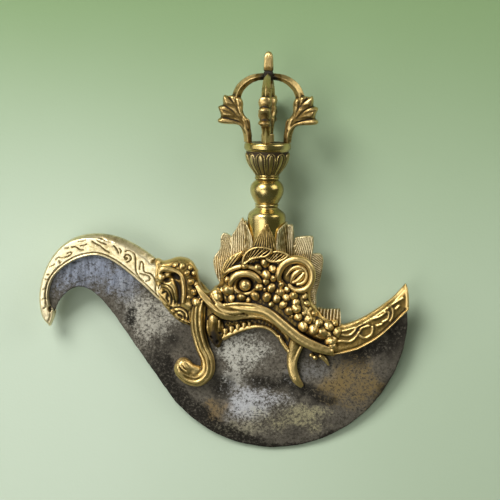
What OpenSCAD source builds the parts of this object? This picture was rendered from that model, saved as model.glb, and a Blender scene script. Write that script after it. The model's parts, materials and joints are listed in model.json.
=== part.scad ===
// Kartika chopper: a crescent iron blade with brass spines, gripped by a two-sided makara head that
// carries a half-vajra handle. It is drawn upright, with the handle's axis on Z and the front toward
// -Y, and then laid on its rear side, the way it rests on a table.

/* [Blade] */
// Width of the whole outline, from the hook's back to the point
blade_span = 160.7; // [130:0.1:200]
// Depth of the outline below the handle's datum
blade_drop = 90.3; // [75:0.1:115]
// Thickness of the blade along its back
blade_t = 2.4; // [1.6:0.1:3]
// Thickness left at the cutting edge
edge_t = 0.8; // [0.4:0.1:1.2]
// Width of the ground bevel behind the edge
bevel_w = 9; // [4:0.5:14]
// Width of the flat tang inside the head
tang_w = 6; // [4:0.5:8]

/* [Brass spines] */
// Thickness of the spines across the blade
spine_t = 7.5; // [6:0.1:9]
// How far the spines reach over the blade from its back
spine_grip = 5; // [3:0.1:6]

/* [Makara head] */
// Thickness of the low plate of both head halves together
plate_t = 7.6; // [6:0.1:9]
// Thickness across both cheeks
cheek_t = 12; // [10:0.2:15]
// Radius of the jaw's rolled lip
lip_r = 2.1; // [1.4:0.1:2.6]
// Radius of an average curl of the beard and brow
curl_r = 2; // [1.4:0.1:2.4]
// Radius of the eyeball
eye_r = 3; // [2.2:0.1:3.6]
// Radius of the ear's rolled rim
ear_rim_r = 1.5; // [1:0.1:2]
// Radius of the trunk at its root
trunk_r = 3.7; // [2.6:0.1:4.2]
// Radius of the tusk at its root
tusk_r = 2.7; // [2:0.1:3.2]
// Radius of the rear fang at its root
fang_r = 2.6; // [2:0.1:3.2]
// Height of the crest combs in front of the ferrule's foot
crest_t = 2; // [1.2:0.1:3]

/* [Mane] */
// Thickness of the flame-shaped mane plates
mane_t = 4.4; // [3:0.1:5.4]
// Thickness of the leaf that leans on the ferrule
leaf_t = 1.8; // [1.2:0.1:2.6]

/* [Handle] */
// Diameter of the round part of the tang
tang_d = 4.5; // [3:0.1:6]
// Diameter of the ferrule's drum
ferrule_d = 16.4; // [14:0.1:20]
// Height of the ferrule
ferrule_h = 20.3; // [18:0.1:26]
// Diameter of the ring between ferrule and bulb
neck_d = 9.8; // [8:0.1:12]
// Height of the ring between ferrule and bulb
neck_h = 1.3; // [1:0.1:3]
// Diameter of the grip bulb
bulb_d = 14.4; // [12:0.1:18]
// Height of the grip bulb
bulb_h = 10.4; // [9:0.1:14]
// Diameter of the collar under the lotus
collar_d = 10.6; // [9:0.1:13]
// Height of the collar under the lotus
collar_h = 2.2; // [1.5:0.1:4]
// Largest diameter of the lotus cup
cup_d = 19.2; // [16:0.1:24]
// Height of the lotus cup
cup_h = 9.9; // [8:0.1:13]
// Number of lotus petals around the cup
petals = 12; // [8:1:16]
// How far the petals stand out of the cup
petal_t = 0.45; // [0.2:0.05:0.8]
// How far the rim that seats the prongs stands out over the cup
rim_over = 0.4; // [0:0.1:2]
// Height of the rim that seats the prongs
rim_h = 3.8; // [3:0.1:6]

/* [Vajra] */
// Diameter across the leaf tips of opposite prongs
vajra_spread = 43.8; // [38:0.1:52]
// Height from the rim to the top of the prongs' arc
vajra_h = 29.3; // [25:0.1:35]
// Width of a prong's bar
prong_w = 3.8; // [2.6:0.1:4.6]
// Side of the square centre prong
finial_w = 4; // [3:0.1:5]
// Height of the centre prong above the arcs
finial_h = 9.6; // [6:0.1:14]

/* [Fit] */
// Gap left all round where one piece fits in another
fit = 0.1; // [0.05:0.05:0.2]

/* [Rest] */
// Slope of the handle up from the table, in degrees
rest_pitch = 8.15; // [0:0.01:15]
// Slope across the handle, in degrees
rest_roll = 0.05; // [-10:0.01:10]
// Shift that brings the laid object over its datum
rest_shift = [18.66, 4.24, 14.22];

/* [Hidden] */

brass = [0.76, 0.62, 0.3];
iron = [0.4, 0.41, 0.43];

// Heights of the joints in the handle, counted from the ferrule's seat on the head.
seat_z = -5;
neck_z = seat_z + ferrule_h;
bulb_z = neck_z + neck_h;
collar_z = bulb_z + bulb_h;
cup_z = collar_z + collar_h;
rim_z = cup_z + cup_h;
prong_z = rim_z + rim_h;
tang_top = prong_z - 2;

// A curve through points, with n steps between neighbours.
function pick(p, i) = p[max(0, min(len(p) - 1, i))];
function curve_at(a, b, c, d, t) =
    0.5 * (2 * b + (c - a) * t + (2 * a - 5 * b + 4 * c - d) * t * t + (3 * b - a - 3 * c + d) * t * t * t);
function curve(p, n) = concat(
    [for (i = [0 : len(p) - 2], k = [0 : n - 1])
        curve_at(pick(p, i - 1), p[i], p[i + 1], pick(p, i + 2), k / n)],
    [p[len(p) - 1]]
);
function reverse(p) = [for (i = [len(p) - 1 : -1 : 0]) p[i]];
function unit(v) = v / max(norm(v), 0.001);

// Outlines in the blade's plane are written for the photographed sizes and follow the set ones.
span_k = blade_span / 160.7;
drop_k = blade_drop / 90.3;
function placed(p) = [for (q = p) [q.x * span_k, q.y * drop_k]];

edge = curve(placed([
    [61.1, -27.6], [61.3, -34.5], [60.5, -42], [58.1, -50.6], [54.5, -58.8], [49.2, -67],
    [42, -75], [33.3, -81.5], [24.6, -85.9], [15.9, -88.8], [7.2, -90.2], [-1.6, -90.1],
    [-10.4, -88.8], [-19.2, -85.7], [-28.1, -80.7], [-37, -73.4], [-43.2, -65.8],
    [-49, -57.6], [-59.2, -43.2], [-68, -31.1], [-72.5, -26.1], [-76.9, -22.6],
    [-81.3, -21.6], [-85.7, -23.1], [-89.3, -26.5], [-92, -31.4]
]), 3);

// Each spine lies between an outer and an inner line, written from its tip to the head.
hook_outer = curve(placed([
    [-94.7, -39.3], [-97.8, -35.4], [-99, -29.2], [-98.9, -23.5], [-97.2, -16.4], [-93.6, -8.8],
    [-88.3, -2.9], [-81.7, 0.7], [-73.8, 2], [-65.8, 1.1], [-59.3, -1.2], [-53.6, -4.3], [-48.2, -8.1]
]), 3);
hook_inner = curve(placed([
    [-94.1, -38.9], [-92.2, -33], [-94.2, -29.1], [-94.5, -23.8], [-93, -18.7], [-89.7, -14.4],
    [-85.2, -11], [-80.4, -8.7], [-74.2, -7.4], [-68.9, -8.6], [-63.6, -11.6], [-57.9, -16], [-51.5, -21.4]
]), 3);
point_outer = curve(placed([
    [59.7, -16.7], [54.6, -22.5], [46, -29.1], [39.6, -32.9], [34, -35]
]), 3);
point_inner = curve(placed([
    [61.8, -27.6], [50.6, -39.1], [42, -44.8], [37.8, -46.5], [33.3, -47.7]
]), 3);

// The blade's back runs inside each spine, at the spine's grip from the inner line, less at the tip.
function grip_at(o, i, k) = min(spine_grip * min(1, 0.12 + 0.12 * k), 0.55 * norm(o - i));
function back_line(o, i, gap) =
    [for (k = [0 : len(o) - 1]) i[k] + unit(o[k] - i[k]) * (grip_at(o[k], i[k], k) + gap)];
hook_back = back_line(hook_outer, hook_inner, 0);
point_back = back_line(point_outer, point_inner, 0);
shoulder_z = seat_z - 15;
head_back = placed([[-46, -20], [-38, -25], [-28, -29], [-20, -29], [-12, -26]]);
jaw_back = placed([[12, -28], [20, -35], [28, -40.5]]);
tang_flat_top = seat_z - 4;
blade_back = concat(
    [for (k = [2 : len(hook_back) - 1]) hook_back[k]], head_back,
    [[-tang_w / 2 - 2, shoulder_z], [-tang_w / 2, shoulder_z + 2], [-tang_w / 2, tang_flat_top]],
    [[tang_w / 2, tang_flat_top], [tang_w / 2, shoulder_z + 2], [tang_w / 2 + 2, shoulder_z]],
    jaw_back, [for (k = [len(point_back) - 1 : -1 : 1]) point_back[k]]
);

// The low plate of the head, from the snout round the brow, jaw, mouth and back to the trunk's root.
plate_line = concat(
    placed([
        [-48.1, -8.4], [-44.8, -9.2], [-41.7, -8.5], [-38.2, -7.4], [-34.3, -7.9], [-31.7, -9.7],
        [-29.9, -12.9], [-28.8, -17.7], [-27, -21.4], [-24.6, -22.2], [-22.4, -20.6], [-20.3, -18.6],
        [-18.8, -14.5], [-16, -8.5], [-12.5, -5.6]
    ]),
    [[-ferrule_d / 2, seat_z], [ferrule_d / 2, seat_z]],
    placed([
        [13.8, -5.5], [18.9, -7.1], [21.6, -11.8], [21.2, -16.9], [20, -21], [20.5, -25],
        [23.5, -29.5], [28, -32.6], [33.7, -35.1], [33, -47.8], [27, -48.8], [21.6, -47.5],
        [17.5, -45], [9.8, -47.7], [7.2, -43.4], [3.2, -39.1], [-1.1, -37.5], [-6.3, -38.1],
        [-10.6, -39.7], [-14.1, -41.4], [-18.4, -43.3], [-20, -39], [-24, -37.4], [-31.9, -37.2],
        [-38.1, -34.7], [-44.7, -27.8], [-51.3, -21.7]
    ])
);
cheek_line = concat(
    placed([[-17.5, -15], [-15, -9.5], [-11.5, -7]]),
    [[-ferrule_d / 2, seat_z], [ferrule_d / 2, seat_z]],
    placed([
        [14, -8], [18, -12], [17.5, -19], [18, -25], [22, -31.5], [25, -36], [20, -41],
        [12, -38], [5, -32.5], [-3, -29.5], [-10, -29.2], [-16.5, -28.5], [-19, -24], [-18.5, -19]
    ])
);
snout_line = placed([
    [-45.5, -12], [-42, -10], [-37.5, -9], [-34, -9.8], [-31.4, -14], [-30.2, -19], [-28.6, -24],
    [-31, -29], [-36, -28.5], [-40, -23], [-43.5, -18]
]);
nostril = [-38.5 * span_k, -15 * drop_k];
eye = [-7.7 * span_k, -17.8 * drop_k];
ear = [14 * span_k, -13.6 * drop_k];

// Raised strands: each is a path of [x, z, radius], drawn as a chain of rounded links.
function strand(p, n) = [for (q = curve(p, n)) [q.x * span_k, q.y * drop_k, q.z]];
lip_low = strand([
    [-15.5, -27.5, 1.4], [-8, -28.2, lip_r], [-2, -28.9, lip_r], [3, -31, lip_r], [9, -35.6, lip_r],
    [15.6, -41, lip_r], [22, -44.2, lip_r], [28.5, -45.6, 1.6]
], 2);
lip_high = strand([
    [-27, -22.5, 1.5], [-23.7, -26.6, 1.9], [-19, -30.4, 2], [-13.5, -31.8, 1.9], [-8.5, -31.9, 1.3]
], 2);
lid = strand([
    [-14.2, -18.6, 1], [-12.6, -14.8, 1.3], [-7.4, -12.4, 1.4], [-2.8, -13.4, 1.3], [-0.6, -16.2, 1]
], 2);
nose_ridge = strand([
    [-44.5, -15.6, 1.6], [-42.6, -12.6, 1.3], [-38.4, -11.4, 1.2], [-34.4, -12.6, 1.2], [-33, -16.4, 1]
], 1);
gum = strand([
    [-17.3, -41.4, 0.9], [-10.6, -38.2, 1], [-1.4, -36, 1.1], [4.1, -38.1, 1], [8.7, -43.7, 0.9]
], 2);
trunk_path = strand([
    [-28.4, -26.5, trunk_r], [-28.7, -33.3, trunk_r - 0.3], [-28.3, -39.5, trunk_r - 0.5],
    [-26.6, -46, trunk_r - 0.6], [-24.4, -51.5, trunk_r - 0.7], [-24.6, -57, trunk_r - 0.6],
    [-28.4, -60.8, trunk_r - 0.6], [-33, -60, trunk_r - 0.7], [-35.9, -56.6, trunk_r - 0.7],
    [-34.6, -53.6, trunk_r - 1.4]
], 2);
tusk_path = strand([
    [-22, -34.4, tusk_r - 0.4], [-22.6, -38.2, tusk_r], [-21.6, -42.2, tusk_r - 0.6], [-20.2, -45, 1]
], 3);
fang_path = strand([
    [13.4, -41.6, fang_r], [12.2, -47, fang_r - 0.5], [12.4, -53, fang_r - 0.6],
    [14, -58.4, fang_r - 0.4], [16.6, -61.6, 0.9]
], 2);

// Curls of the nose, cheek and beard: [x, z, share of the curl's radius, height over the middle plane].
curls = [
    [-38.2, -9.4, 0.8, 5.4], [-35.1, -10.1, 0.8, 5.6], [-32.6, -11.4, 0.8, 5.4], [-31.4, -15.6, 0.8, 5.6],
    [-31.4, -19.6, 0.8, 5.8], [-30.4, -24.4, 0.9, 6], [-16, -15.8, 0.7, 5.6], [-15.7, -20.4, 0.95, 6],
    [-14, -24.2, 0.9, 6], [-9.6, -23.6, 1.1, 6.4], [-4, -22.4, 1.05, 6.4], [-1.8, -18.6, 1, 6.6],
    [1.2, -22.9, 1.1, 6.4], [3, -18.7, 1, 6.4], [3.8, -14.6, 0.9, 6.2], [0.6, -13.2, 1, 6.4],
    [-2.8, -9.8, 0.95, 6.2], [0.6, -7.6, 1.1, 6], [4.2, -10.3, 0.95, 6.2], [-19.9, -22.6, 1.4, 5],
    [9, -21.6, 1, 6.2], [5.2, -23.6, 1, 6.2], [8.2, -26, 1, 6.2], [12.6, -23.2, 1.1, 6.2],
    [13.2, -27.4, 1.1, 6.2], [10.6, -29.6, 1.1, 6.2], [14.8, -31.6, 1.1, 6.2], [17, -36, 1.1, 6],
    [18.8, -32.2, 1, 6], [21.2, -36.8, 1.1, 5.8], [23, -33, 1, 5.4], [25.2, -37.8, 1.1, 5],
    [27.4, -34.6, 1, 4.4], [31, -37.6, 1, 3.8], [28.8, -41.4, 1.2, 4.2]
];
teeth = [[-16.4, -38.9], [-13.6, -37.8], [-10.8, -36.7], [-8, -35.8]];

// Mane plates: outline above the head, closed by a root that the head's halves clamp.
mane_left_line = placed([
    [-17, -20], [-19.2, -19], [-21.4, -14.9], [-22.8, -9.7], [-22.5, -6.8], [-20.9, -4.6],
    [-19.4, -2.6], [-19.7, 1.3], [-18.6, 3.1], [-16.6, 3], [-14.8, 2.6], [-12.7, 5.8], [-10.1, 10.2],
    [-8.4, 6], [-6.4, 0.6], [-6.4, -8], [-12, -17]
]);
mane_right_line = placed([
    [6.4, -8], [6.3, 4], [7, 6.6], [8, 7.3], [11.4, 8.1], [12, 4], [12.8, 2.2], [16, 3], [19.6, 3.1],
    [20.4, 2.2], [20.3, -3.8], [23.6, -4.5], [24.7, -6.2], [24.7, -9.4], [23.5, -16.5], [22, -22.4],
    [22.1, -26.6], [18.5, -25.5], [13, -16]
]);
jaw_comb_line = placed([
    [22.6, -27.2], [25.3, -28.3], [32.4, -28.1], [33, -33.8], [32.6, -36.4], [26, -33.6]
]);
leaf_line = placed([[-5.8, -1.4], [-5, 1.6], [-3.2, 3], [-1.4, 6.2], [1.1, 8.8], [2.9, 5], [5, 2.6], [5.6, -1.4]]);
crest_line = concat(
    curve(placed([[-9.6, -7.4], [-7.6, -3.8], [-3.6, -1.6], [0, -1.7], [3.4, -3]]), 3),
    curve(placed([[4.6, -3], [8, -3.2], [10.6, -4.4]]), 3),
    placed([[7.6, -6], [0, -7], [-6, -7.4]])
);

// Lays the upright object on its rear side over the datum.
module lay() {
    translate(rest_shift) rotate([rest_pitch - 90, -rest_roll, 0]) children();
}

// Draws a flat shape of the blade's plane as a plate of thickness t that starts at depth from.
module plate(line, t, from = 0) {
    translate([0, -from, 0]) rotate([90, 0, 0]) linear_extrude(t) polygon(line);
}

module both_sides(line, t) {
    plate(line, t, -t / 2);
}

// A chain of rounded links along a path of [x, z, radius], its middle at a height over the blade's plane.
module chain(path, height, grow = 0) {
    for (k = [0 : len(path) - 2]) {
        hull() {
            translate([path[k].x, -height, path[k].y]) sphere(path[k].z + grow, $fn = 8);
            translate([path[k + 1].x, -height, path[k + 1].y]) sphere(path[k + 1].z + grow, $fn = 8);
        }
    }
}

// A closed tube through rings of points, all rings having the same number of points.
module skin(rings) {
    n = len(rings[0]);
    m = len(rings);
    sides = [for (i = [0 : m - 2], k = [0 : n - 1], h = [0, 1])
        h == 0 ? [i * n + k, i * n + (k + 1) % n, (i + 1) * n + k]
               : [i * n + (k + 1) % n, (i + 1) * n + (k + 1) % n, (i + 1) * n + k]];
    caps = [[for (k = [n - 1 : -1 : 0]) k], [for (k = [0 : n - 1]) (m - 1) * n + k]];
    polyhedron([for (r = rings, q = r) q], concat(sides, caps));
}

// Thickness of the blade's slot, and the clamped shape of blade and tang with room round it.
slot_t = blade_t + 2 * fit;

module blade_room() {
    rotate([90, 0, 0]) translate([0, 0, -slot_t / 2]) linear_extrude(slot_t)
        offset(delta = fit) polygon(concat(edge, blade_back));
    translate([0, 0, tang_flat_top - 3]) cylinder(h = 30, d = tang_d + 2 * fit, $fn = 32);
}

// How much of the bevel's full width is ground at step k of the edge, less at both tips.
function taper_at(k) = min(1, 0.12 + 0.09 * k, 0.06 + 0.05 * (len(edge) - 1 - k));

// What the grinder takes off one face: a wedge that follows the edge and stands clear outside it.
function grind(k) = let (
    j = max(0, min(len(edge) - 1, k)),
    along = unit(pick(edge, j + 1) - pick(edge, j - 1)),
    inward = [along.y, -along.x],
    width = bevel_w * taper_at(j),
    slope = (blade_t - edge_t) / 2 / width,
    at = edge[j] + along * 2 * (k - j),
    outside = at - inward,
    inside = at + inward * width * 1.3
) [
    [outside.x, slope - edge_t / 2, outside.y],
    [inside.x, -blade_t / 2 - 0.3 * width * slope, inside.y],
    [outside.x, -blade_t / 2 - 2, outside.y]
];

module grinding() {
    skin([for (k = [-1 : len(edge)]) grind(k)]);
}

// Blade: flat faces, a ground bevel along the edge, and a flat tang that turns into a round rod.
module blade() {
    color(iron) lay() {
        difference() {
            both_sides(concat(edge, blade_back), blade_t);
            grinding();
            mirror([0, 1, 0]) grinding();
        }
        translate([0, 0, tang_flat_top - 2]) cylinder(h = tang_top - tang_flat_top + 2, d = tang_d, $fn = 48);
    }
}

// Cross-section of a spine, from its rounded outer edge to the raised bead beside the blade.
spine_section = [[0, 0.3], [0.05, 0.72], [0.15, 0.96], [0.32, 0.9], [0.72, 0.9], [0.82, 1], [0.94, 0.96], [1, 0.66]];

module spine(o, i) {
    b = back_line(o, i, fit);
    function across(k, s) = o[k] + (i[k] - o[k]) * s;
    function at(q, y) = [q.x, y, q.y];
    skin([for (k = [0 : len(o) - 1])
        let (h = spine_t / 2 * min(1, 0.66 + 0.06 * k))
        concat(
            [for (c = spine_section) at(across(k, c[0]), -c[1] * h)],
            [at(i[k], -slot_t / 2), at(b[k], -slot_t / 2), at(b[k], slot_t / 2), at(i[k], slot_t / 2)],
            [for (c = reverse(spine_section)) at(across(k, c[0]), c[1] * h)]
        )
    ]);
}

module hook_spine() {
    color(brass) lay() spine(hook_outer, hook_inner);
}

module point_spine() {
    color(brass) lay() mirror([1, 0, 0]) spine(
        [for (q = point_outer) [-q.x, q.y]], [for (q = point_inner) [-q.x, q.y]]);
}

// One half of the head, without the pieces that are fixed on it.
module head_half() {
    difference() {
        union() {
            plate(plate_line, plate_t / 2);
            plate(cheek_line, cheek_t / 2);
            plate(snout_line, cheek_t / 2 - 0.6);
            chain(lip_low, cheek_t / 2);
            chain(lip_high, cheek_t / 2 - 1);
            chain(lid, cheek_t / 2 + 0.6);
            chain(nose_ridge, cheek_t / 2 - 0.8);
            chain(gum, plate_t / 2 + 0.15);
            for (c = curls) {
                hull() {
                    translate([c.x * span_k, -c[3], c.y * drop_k]) sphere(curl_r * c.z, $fn = 8);
                    translate([c.x * span_k, -2.4, c.y * drop_k]) sphere(curl_r * c.z * 0.8, $fn = 6);
                }
            }
            for (c = teeth) {
                translate([c.x * span_k, -plate_t / 2, c.y * drop_k]) sphere(1.1, $fn = 8);
            }
        }
        translate([-100, 0, -80]) cube([200, 20, 90]);
        blade_room();
        translate([0, 0, seat_z]) cylinder(h = 40, d = 60);
        both_sides(mane_left_line, mane_t + 2 * fit);
        both_sides(mane_right_line, mane_t + 2 * fit);
        both_sides(jaw_comb_line, mane_t + 2 * fit);
        translate([nostril.x, -cheek_t / 2 - 2, nostril.y]) scale([1.7, 1, 1]) sphere(3, $fn = 16);
        translate([eye.x, -cheek_t / 2 - 0.4, eye.y]) sphere(eye_r + fit, $fn = 20);
        ear_shape(fit);
        trunk_shape(fit);
        tusk_shape(fit);
        fang_shape(fit);
        plate(crest_line, 20, ferrule_d / 2);
    }
}

module front() {
    color(brass) lay() children();
}

module rear() {
    color(brass) lay() mirror([0, 1, 0]) children();
}

module head_front() {
    front() head_half();
}

module head_rear() {
    rear() head_half();
}

module eye_shape() {
    translate([eye.x, -cheek_t / 2 - 0.4, eye.y]) sphere(eye_r, $fn = 32);
}

module eye_front() {
    front() eye_shape();
}

module eye_rear() {
    rear() eye_shape();
}

// Ear: a rolled rim round a hollow, with a pointed fold inside.
ear_path = [for (a = [200 : -30 : -130]) [
    ear.x + (7.4 * span_k - ear_rim_r + 1.5) * cos(a), ear.y + 6.6 * drop_k * sin(a), ear_rim_r]];

module ear_shape(grow = 0) {
    chain(ear_path, cheek_t / 2 + 0.6, grow);
    hull() {
        translate([ear.x - 3.4, -cheek_t / 2 - 0.3, ear.y - 1.6]) sphere(0.9 + grow, $fn = 8);
        translate([ear.x + 5 * span_k, -cheek_t / 2 - 0.3, ear.y + 3.4 * drop_k]) sphere(1.5 + grow, $fn = 8);
    }
}

module ear_front() {
    front() ear_shape();
}

module ear_rear() {
    rear() ear_shape();
}

module trunk_shape(grow = 0) {
    difference() {
        chain(trunk_path, blade_t / 2 + 1.4, grow);
        translate([-100, -slot_t / 2, -120]) cube([200, 20, 200]);
    }
}

module trunk_front() {
    front() trunk_shape();
}

module trunk_rear() {
    rear() trunk_shape();
}

module tusk_shape(grow = 0) {
    difference() {
        chain(tusk_path, blade_t / 2 + 1.5, grow);
        translate([-100, -slot_t / 2, -120]) cube([200, 20, 200]);
    }
}

module tusk_front() {
    front() tusk_shape();
}

module tusk_rear() {
    rear() tusk_shape();
}

module fang_shape(grow = 0) {
    difference() {
        chain(fang_path, blade_t / 2 + 1.5, grow);
        translate([-100, -slot_t / 2, -120]) cube([200, 20, 200]);
    }
}

module fang_front() {
    front() fang_shape();
}

module fang_rear() {
    rear() fang_shape();
}

// Crest combs stand in front of the ferrule's foot, on the head.
module crest_shape() {
    plate(crest_line, crest_t, ferrule_d / 2 + fit);
}

module crest_front() {
    front() crest_shape();
}

module crest_rear() {
    rear() crest_shape();
}

module mane_left() {
    color(brass) lay() difference() {
        both_sides(mane_left_line, mane_t);
        translate([0, 0, seat_z - fit]) cylinder(h = 60, d = ferrule_d + 2 * fit, $fn = 64);
    }
}

module mane_right() {
    color(brass) lay() difference() {
        both_sides(mane_right_line, mane_t);
        translate([0, 0, seat_z - fit]) cylinder(h = 60, d = ferrule_d + 2 * fit, $fn = 64);
    }
}

module jaw_comb() {
    color(brass) lay() both_sides(jaw_comb_line, mane_t);
}

// Leaf: a curved plate that hugs the ferrule above the crest.
module leaf_shape() {
    difference() {
        intersection() {
            cylinder(h = 60, d = ferrule_d + 2 * fit + 2 * leaf_t, center = true, $fn = 64);
            plate(leaf_line, 30, 2);
        }
        cylinder(h = 80, d = ferrule_d + 2 * fit, center = true, $fn = 64);
    }
}

module leaf_front() {
    front() leaf_shape();
}

module leaf_rear() {
    rear() leaf_shape();
}

// Turned handle: every profile is written as [radius, height] above its own base.
module turned(base, profile, bore = tang_d / 2 + fit) {
    color(brass) lay() translate([0, 0, base]) rotate_extrude($fn = 96)
        polygon(concat([[bore, 0]], profile, [[bore, profile[len(profile) - 1].y]]));
}

module ferrule() {
    r = ferrule_d / 2;
    turned(seat_z, curve([
        [r, 0], [r, ferrule_h - 6], [r, ferrule_h - 4.6], [r - 0.5, ferrule_h - 3],
        [r - 1.7, ferrule_h - 1.2], [neck_d / 2 + 0.1, ferrule_h]
    ], 3));
}

module neck_ring() {
    r = neck_d / 2;
    turned(neck_z, [[r - 0.3, 0], [r, 0.3], [r, neck_h - 0.4], [r - 0.4, neck_h]]);
}

module bulb() {
    r = bulb_d / 2;
    turned(bulb_z, curve([
        [neck_d / 2 - 0.3, 0], [r - 1.1, bulb_h * 0.22], [r, bulb_h * 0.54], [r - 0.7, bulb_h * 0.76],
        [collar_d / 2 - 0.6, bulb_h]
    ], 4));
}

module collar_ring() {
    r = collar_d / 2;
    turned(collar_z, [
        [r - 0.5, 0], [r - 0.1, 0.4], [r - 0.1, collar_h / 2 - 0.2], [r - 0.4, collar_h / 2],
        [r, collar_h / 2 + 0.2], [r, collar_h - 0.4], [r - 0.4, collar_h]
    ]);
}

function cup_line(out) = curve([
    [collar_d / 2 - 0.4 + out, 0.6], [cup_d / 2 - 3 + out, cup_h * 0.3], [cup_d / 2 - 1 + out, cup_h * 0.6],
    [cup_d / 2 - 0.2 + out, cup_h - 1.6]
], 3);

// Lotus cup: a bowl with rounded petals standing out of it.
module lotus_cup() {
    bore = tang_d / 2 + fit;
    step = 360 / petals;
    color(brass) lay() translate([0, 0, cup_z]) {
        rotate_extrude($fn = 96) polygon(concat(
            [[bore, 0], [collar_d / 2 - 0.4, 0]], cup_line(0), [[cup_d / 2, cup_h], [bore, cup_h]]));
        for (k = [0 : petals - 1]) {
            rotate([0, 0, k * step]) rotate_extrude(angle = step * 0.72, $fn = 96)
                polygon(concat(cup_line(petal_t), reverse(cup_line(-0.5))));
        }
    }
}

module cup_rim() {
    r = cup_d / 2 + rim_over;
    bore = tang_d / 2 + fit;
    color(brass) lay() translate([0, 0, rim_z]) rotate_extrude($fn = 96) polygon([
        [bore, 0], [r - 0.6, 0], [r - 0.6, 0.6], [r - 0.1, 0.9], [r, 1.6], [r, rim_h - 0.8],
        [r - 0.4, rim_h - 0.2], [r - 1, rim_h], [0, rim_h], [0, tang_top + fit - rim_z],
        [bore, tang_top + fit - rim_z]
    ]);
}

// A prong: a curved bar that springs from the rim, opens into a leaf and arches to the centre.
// Its path is written as [radius, height, bar radius] for the photographed vajra.
prong_path = curve([
    [8.1, 0, 1.9], [8.6, 4, 1.6], [10.2, 7.6, 1.7], [12.6, 11.6, 2], [13.6, 16, 1.9], [13.3, 20.6, 1.7],
    [10.6, 24.6, 1.5], [6.6, 27.2, 1.4], [1, 27.9, 1.4]
], 2);
leaf_lobes = [
    [[10.4, 7.4, 0, 1.4], [16.4, 7.8, 0, 1.6], [20.6, 8.8, 0, 1.2]],
    [[12, 10, 0, 1.8], [17, 12.4, 0, 1.8], [20.8, 14.4, 0, 1.1]],
    [[12.6, 14, 0, 1.8], [16.4, 17, 0, 1.6], [18.4, 19.2, 0, 1.1]],
    [[12, 9.6, 1, 1.4], [15.6, 11.6, 2, 1.4], [18, 13, 2.2, 0.9]],
    [[12, 9.6, -1, 1.4], [15.6, 11.6, -2, 1.4], [18, 13, -2.2, 0.9]],
    [[11.8, 13, 1, 1.3], [14, 16.4, 1.9, 1.3], [15.6, 19, 2, 0.9]],
    [[11.8, 13, -1, 1.3], [14, 16.4, -1.9, 1.3], [15.6, 19, -2, 0.9]]
];

module prong(turn) {
    spread_k = vajra_spread / 43.8;
    rise_k = vajra_h / 29.3;
    bar_k = prong_w / 3.8;
    color(brass) lay() rotate([0, 0, turn]) translate([0, 0, prong_z]) difference() {
        union() {
            for (k = [0 : len(prong_path) - 2]) {
                hull() {
                    for (q = [prong_path[k], prong_path[k + 1]]) {
                        translate([q.x * spread_k, 0, q.y * rise_k]) sphere(q.z * bar_k, $fn = 8);
                    }
                }
            }
            for (lobe = leaf_lobes) {
                hull() {
                    for (q = lobe) {
                        translate([q.x * spread_k, q.z, q.y * rise_k]) sphere(q[3], $fn = 7);
                    }
                }
            }
        }
        translate([-30, -30, -20]) cube([60, 60, 20]);
        translate([-40 + finial_w / 2 + fit, -20, 0]) cube([40, 40, 60]);
    }
}

module prong_left() {
    prong(180);
}

module prong_right() {
    prong(0);
}

module prong_front() {
    prong(-90);
}

module prong_rear() {
    prong(90);
}

// Centre prong: a square bar with a rounded top, slimmer below the arcs.
module centre_prong() {
    w = finial_w;
    top = vajra_h + finial_h;
    color(brass) lay() translate([0, 0, prong_z]) {
        cylinder(h = 4, d = w + 1.6, $fn = 48);
        cylinder(h = vajra_h - 5, d = w * 0.7, $fn = 48);
        translate([-w / 2, -w / 2, vajra_h - 6]) cube([w, w, top - w / 2 - vajra_h + 6]);
        translate([0, 0, top - w / 2]) intersection() {
            rotate([90, 0, 0]) cylinder(h = w, d = w, center = true, $fn = 48);
            rotate([0, 90, 0]) cylinder(h = w, d = w, center = true, $fn = 48);
        }
    }
}

blade();
hook_spine();
point_spine();
head_front();
head_rear();
eye_front();
eye_rear();
ear_front();
ear_rear();
trunk_front();
trunk_rear();
tusk_front();
tusk_rear();
fang_front();
fang_rear();
crest_front();
crest_rear();
mane_left();
mane_right();
leaf_front();
leaf_rear();
jaw_comb();
ferrule();
neck_ring();
bulb();
collar_ring();
lotus_cup();
cup_rim();
prong_left();
prong_right();
prong_front();
prong_rear();
centre_prong();
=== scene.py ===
"""Kartika chopper: the looks of the cast, forged and turned pieces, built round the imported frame."""
import json
import math

import bpy
import numpy as np
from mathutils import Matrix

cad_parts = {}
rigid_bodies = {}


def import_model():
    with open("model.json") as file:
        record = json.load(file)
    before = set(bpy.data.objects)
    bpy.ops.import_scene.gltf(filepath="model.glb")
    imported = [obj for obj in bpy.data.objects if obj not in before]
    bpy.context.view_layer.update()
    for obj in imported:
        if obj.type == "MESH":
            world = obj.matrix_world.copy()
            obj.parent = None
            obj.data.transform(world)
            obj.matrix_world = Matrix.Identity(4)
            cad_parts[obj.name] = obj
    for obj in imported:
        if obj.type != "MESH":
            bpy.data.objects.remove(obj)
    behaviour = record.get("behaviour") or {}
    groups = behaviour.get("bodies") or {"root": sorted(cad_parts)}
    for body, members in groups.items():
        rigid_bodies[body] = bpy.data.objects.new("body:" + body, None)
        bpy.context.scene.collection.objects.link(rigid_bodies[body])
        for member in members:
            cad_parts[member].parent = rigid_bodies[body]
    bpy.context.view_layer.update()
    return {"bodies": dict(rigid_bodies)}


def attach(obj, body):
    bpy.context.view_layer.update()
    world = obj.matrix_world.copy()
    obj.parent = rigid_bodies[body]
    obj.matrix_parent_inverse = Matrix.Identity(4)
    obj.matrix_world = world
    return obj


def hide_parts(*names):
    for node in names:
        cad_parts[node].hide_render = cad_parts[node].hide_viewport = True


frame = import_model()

import openvdb
from mathutils import Matrix, Vector

body = next(iter(frame["bodies"]))


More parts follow.
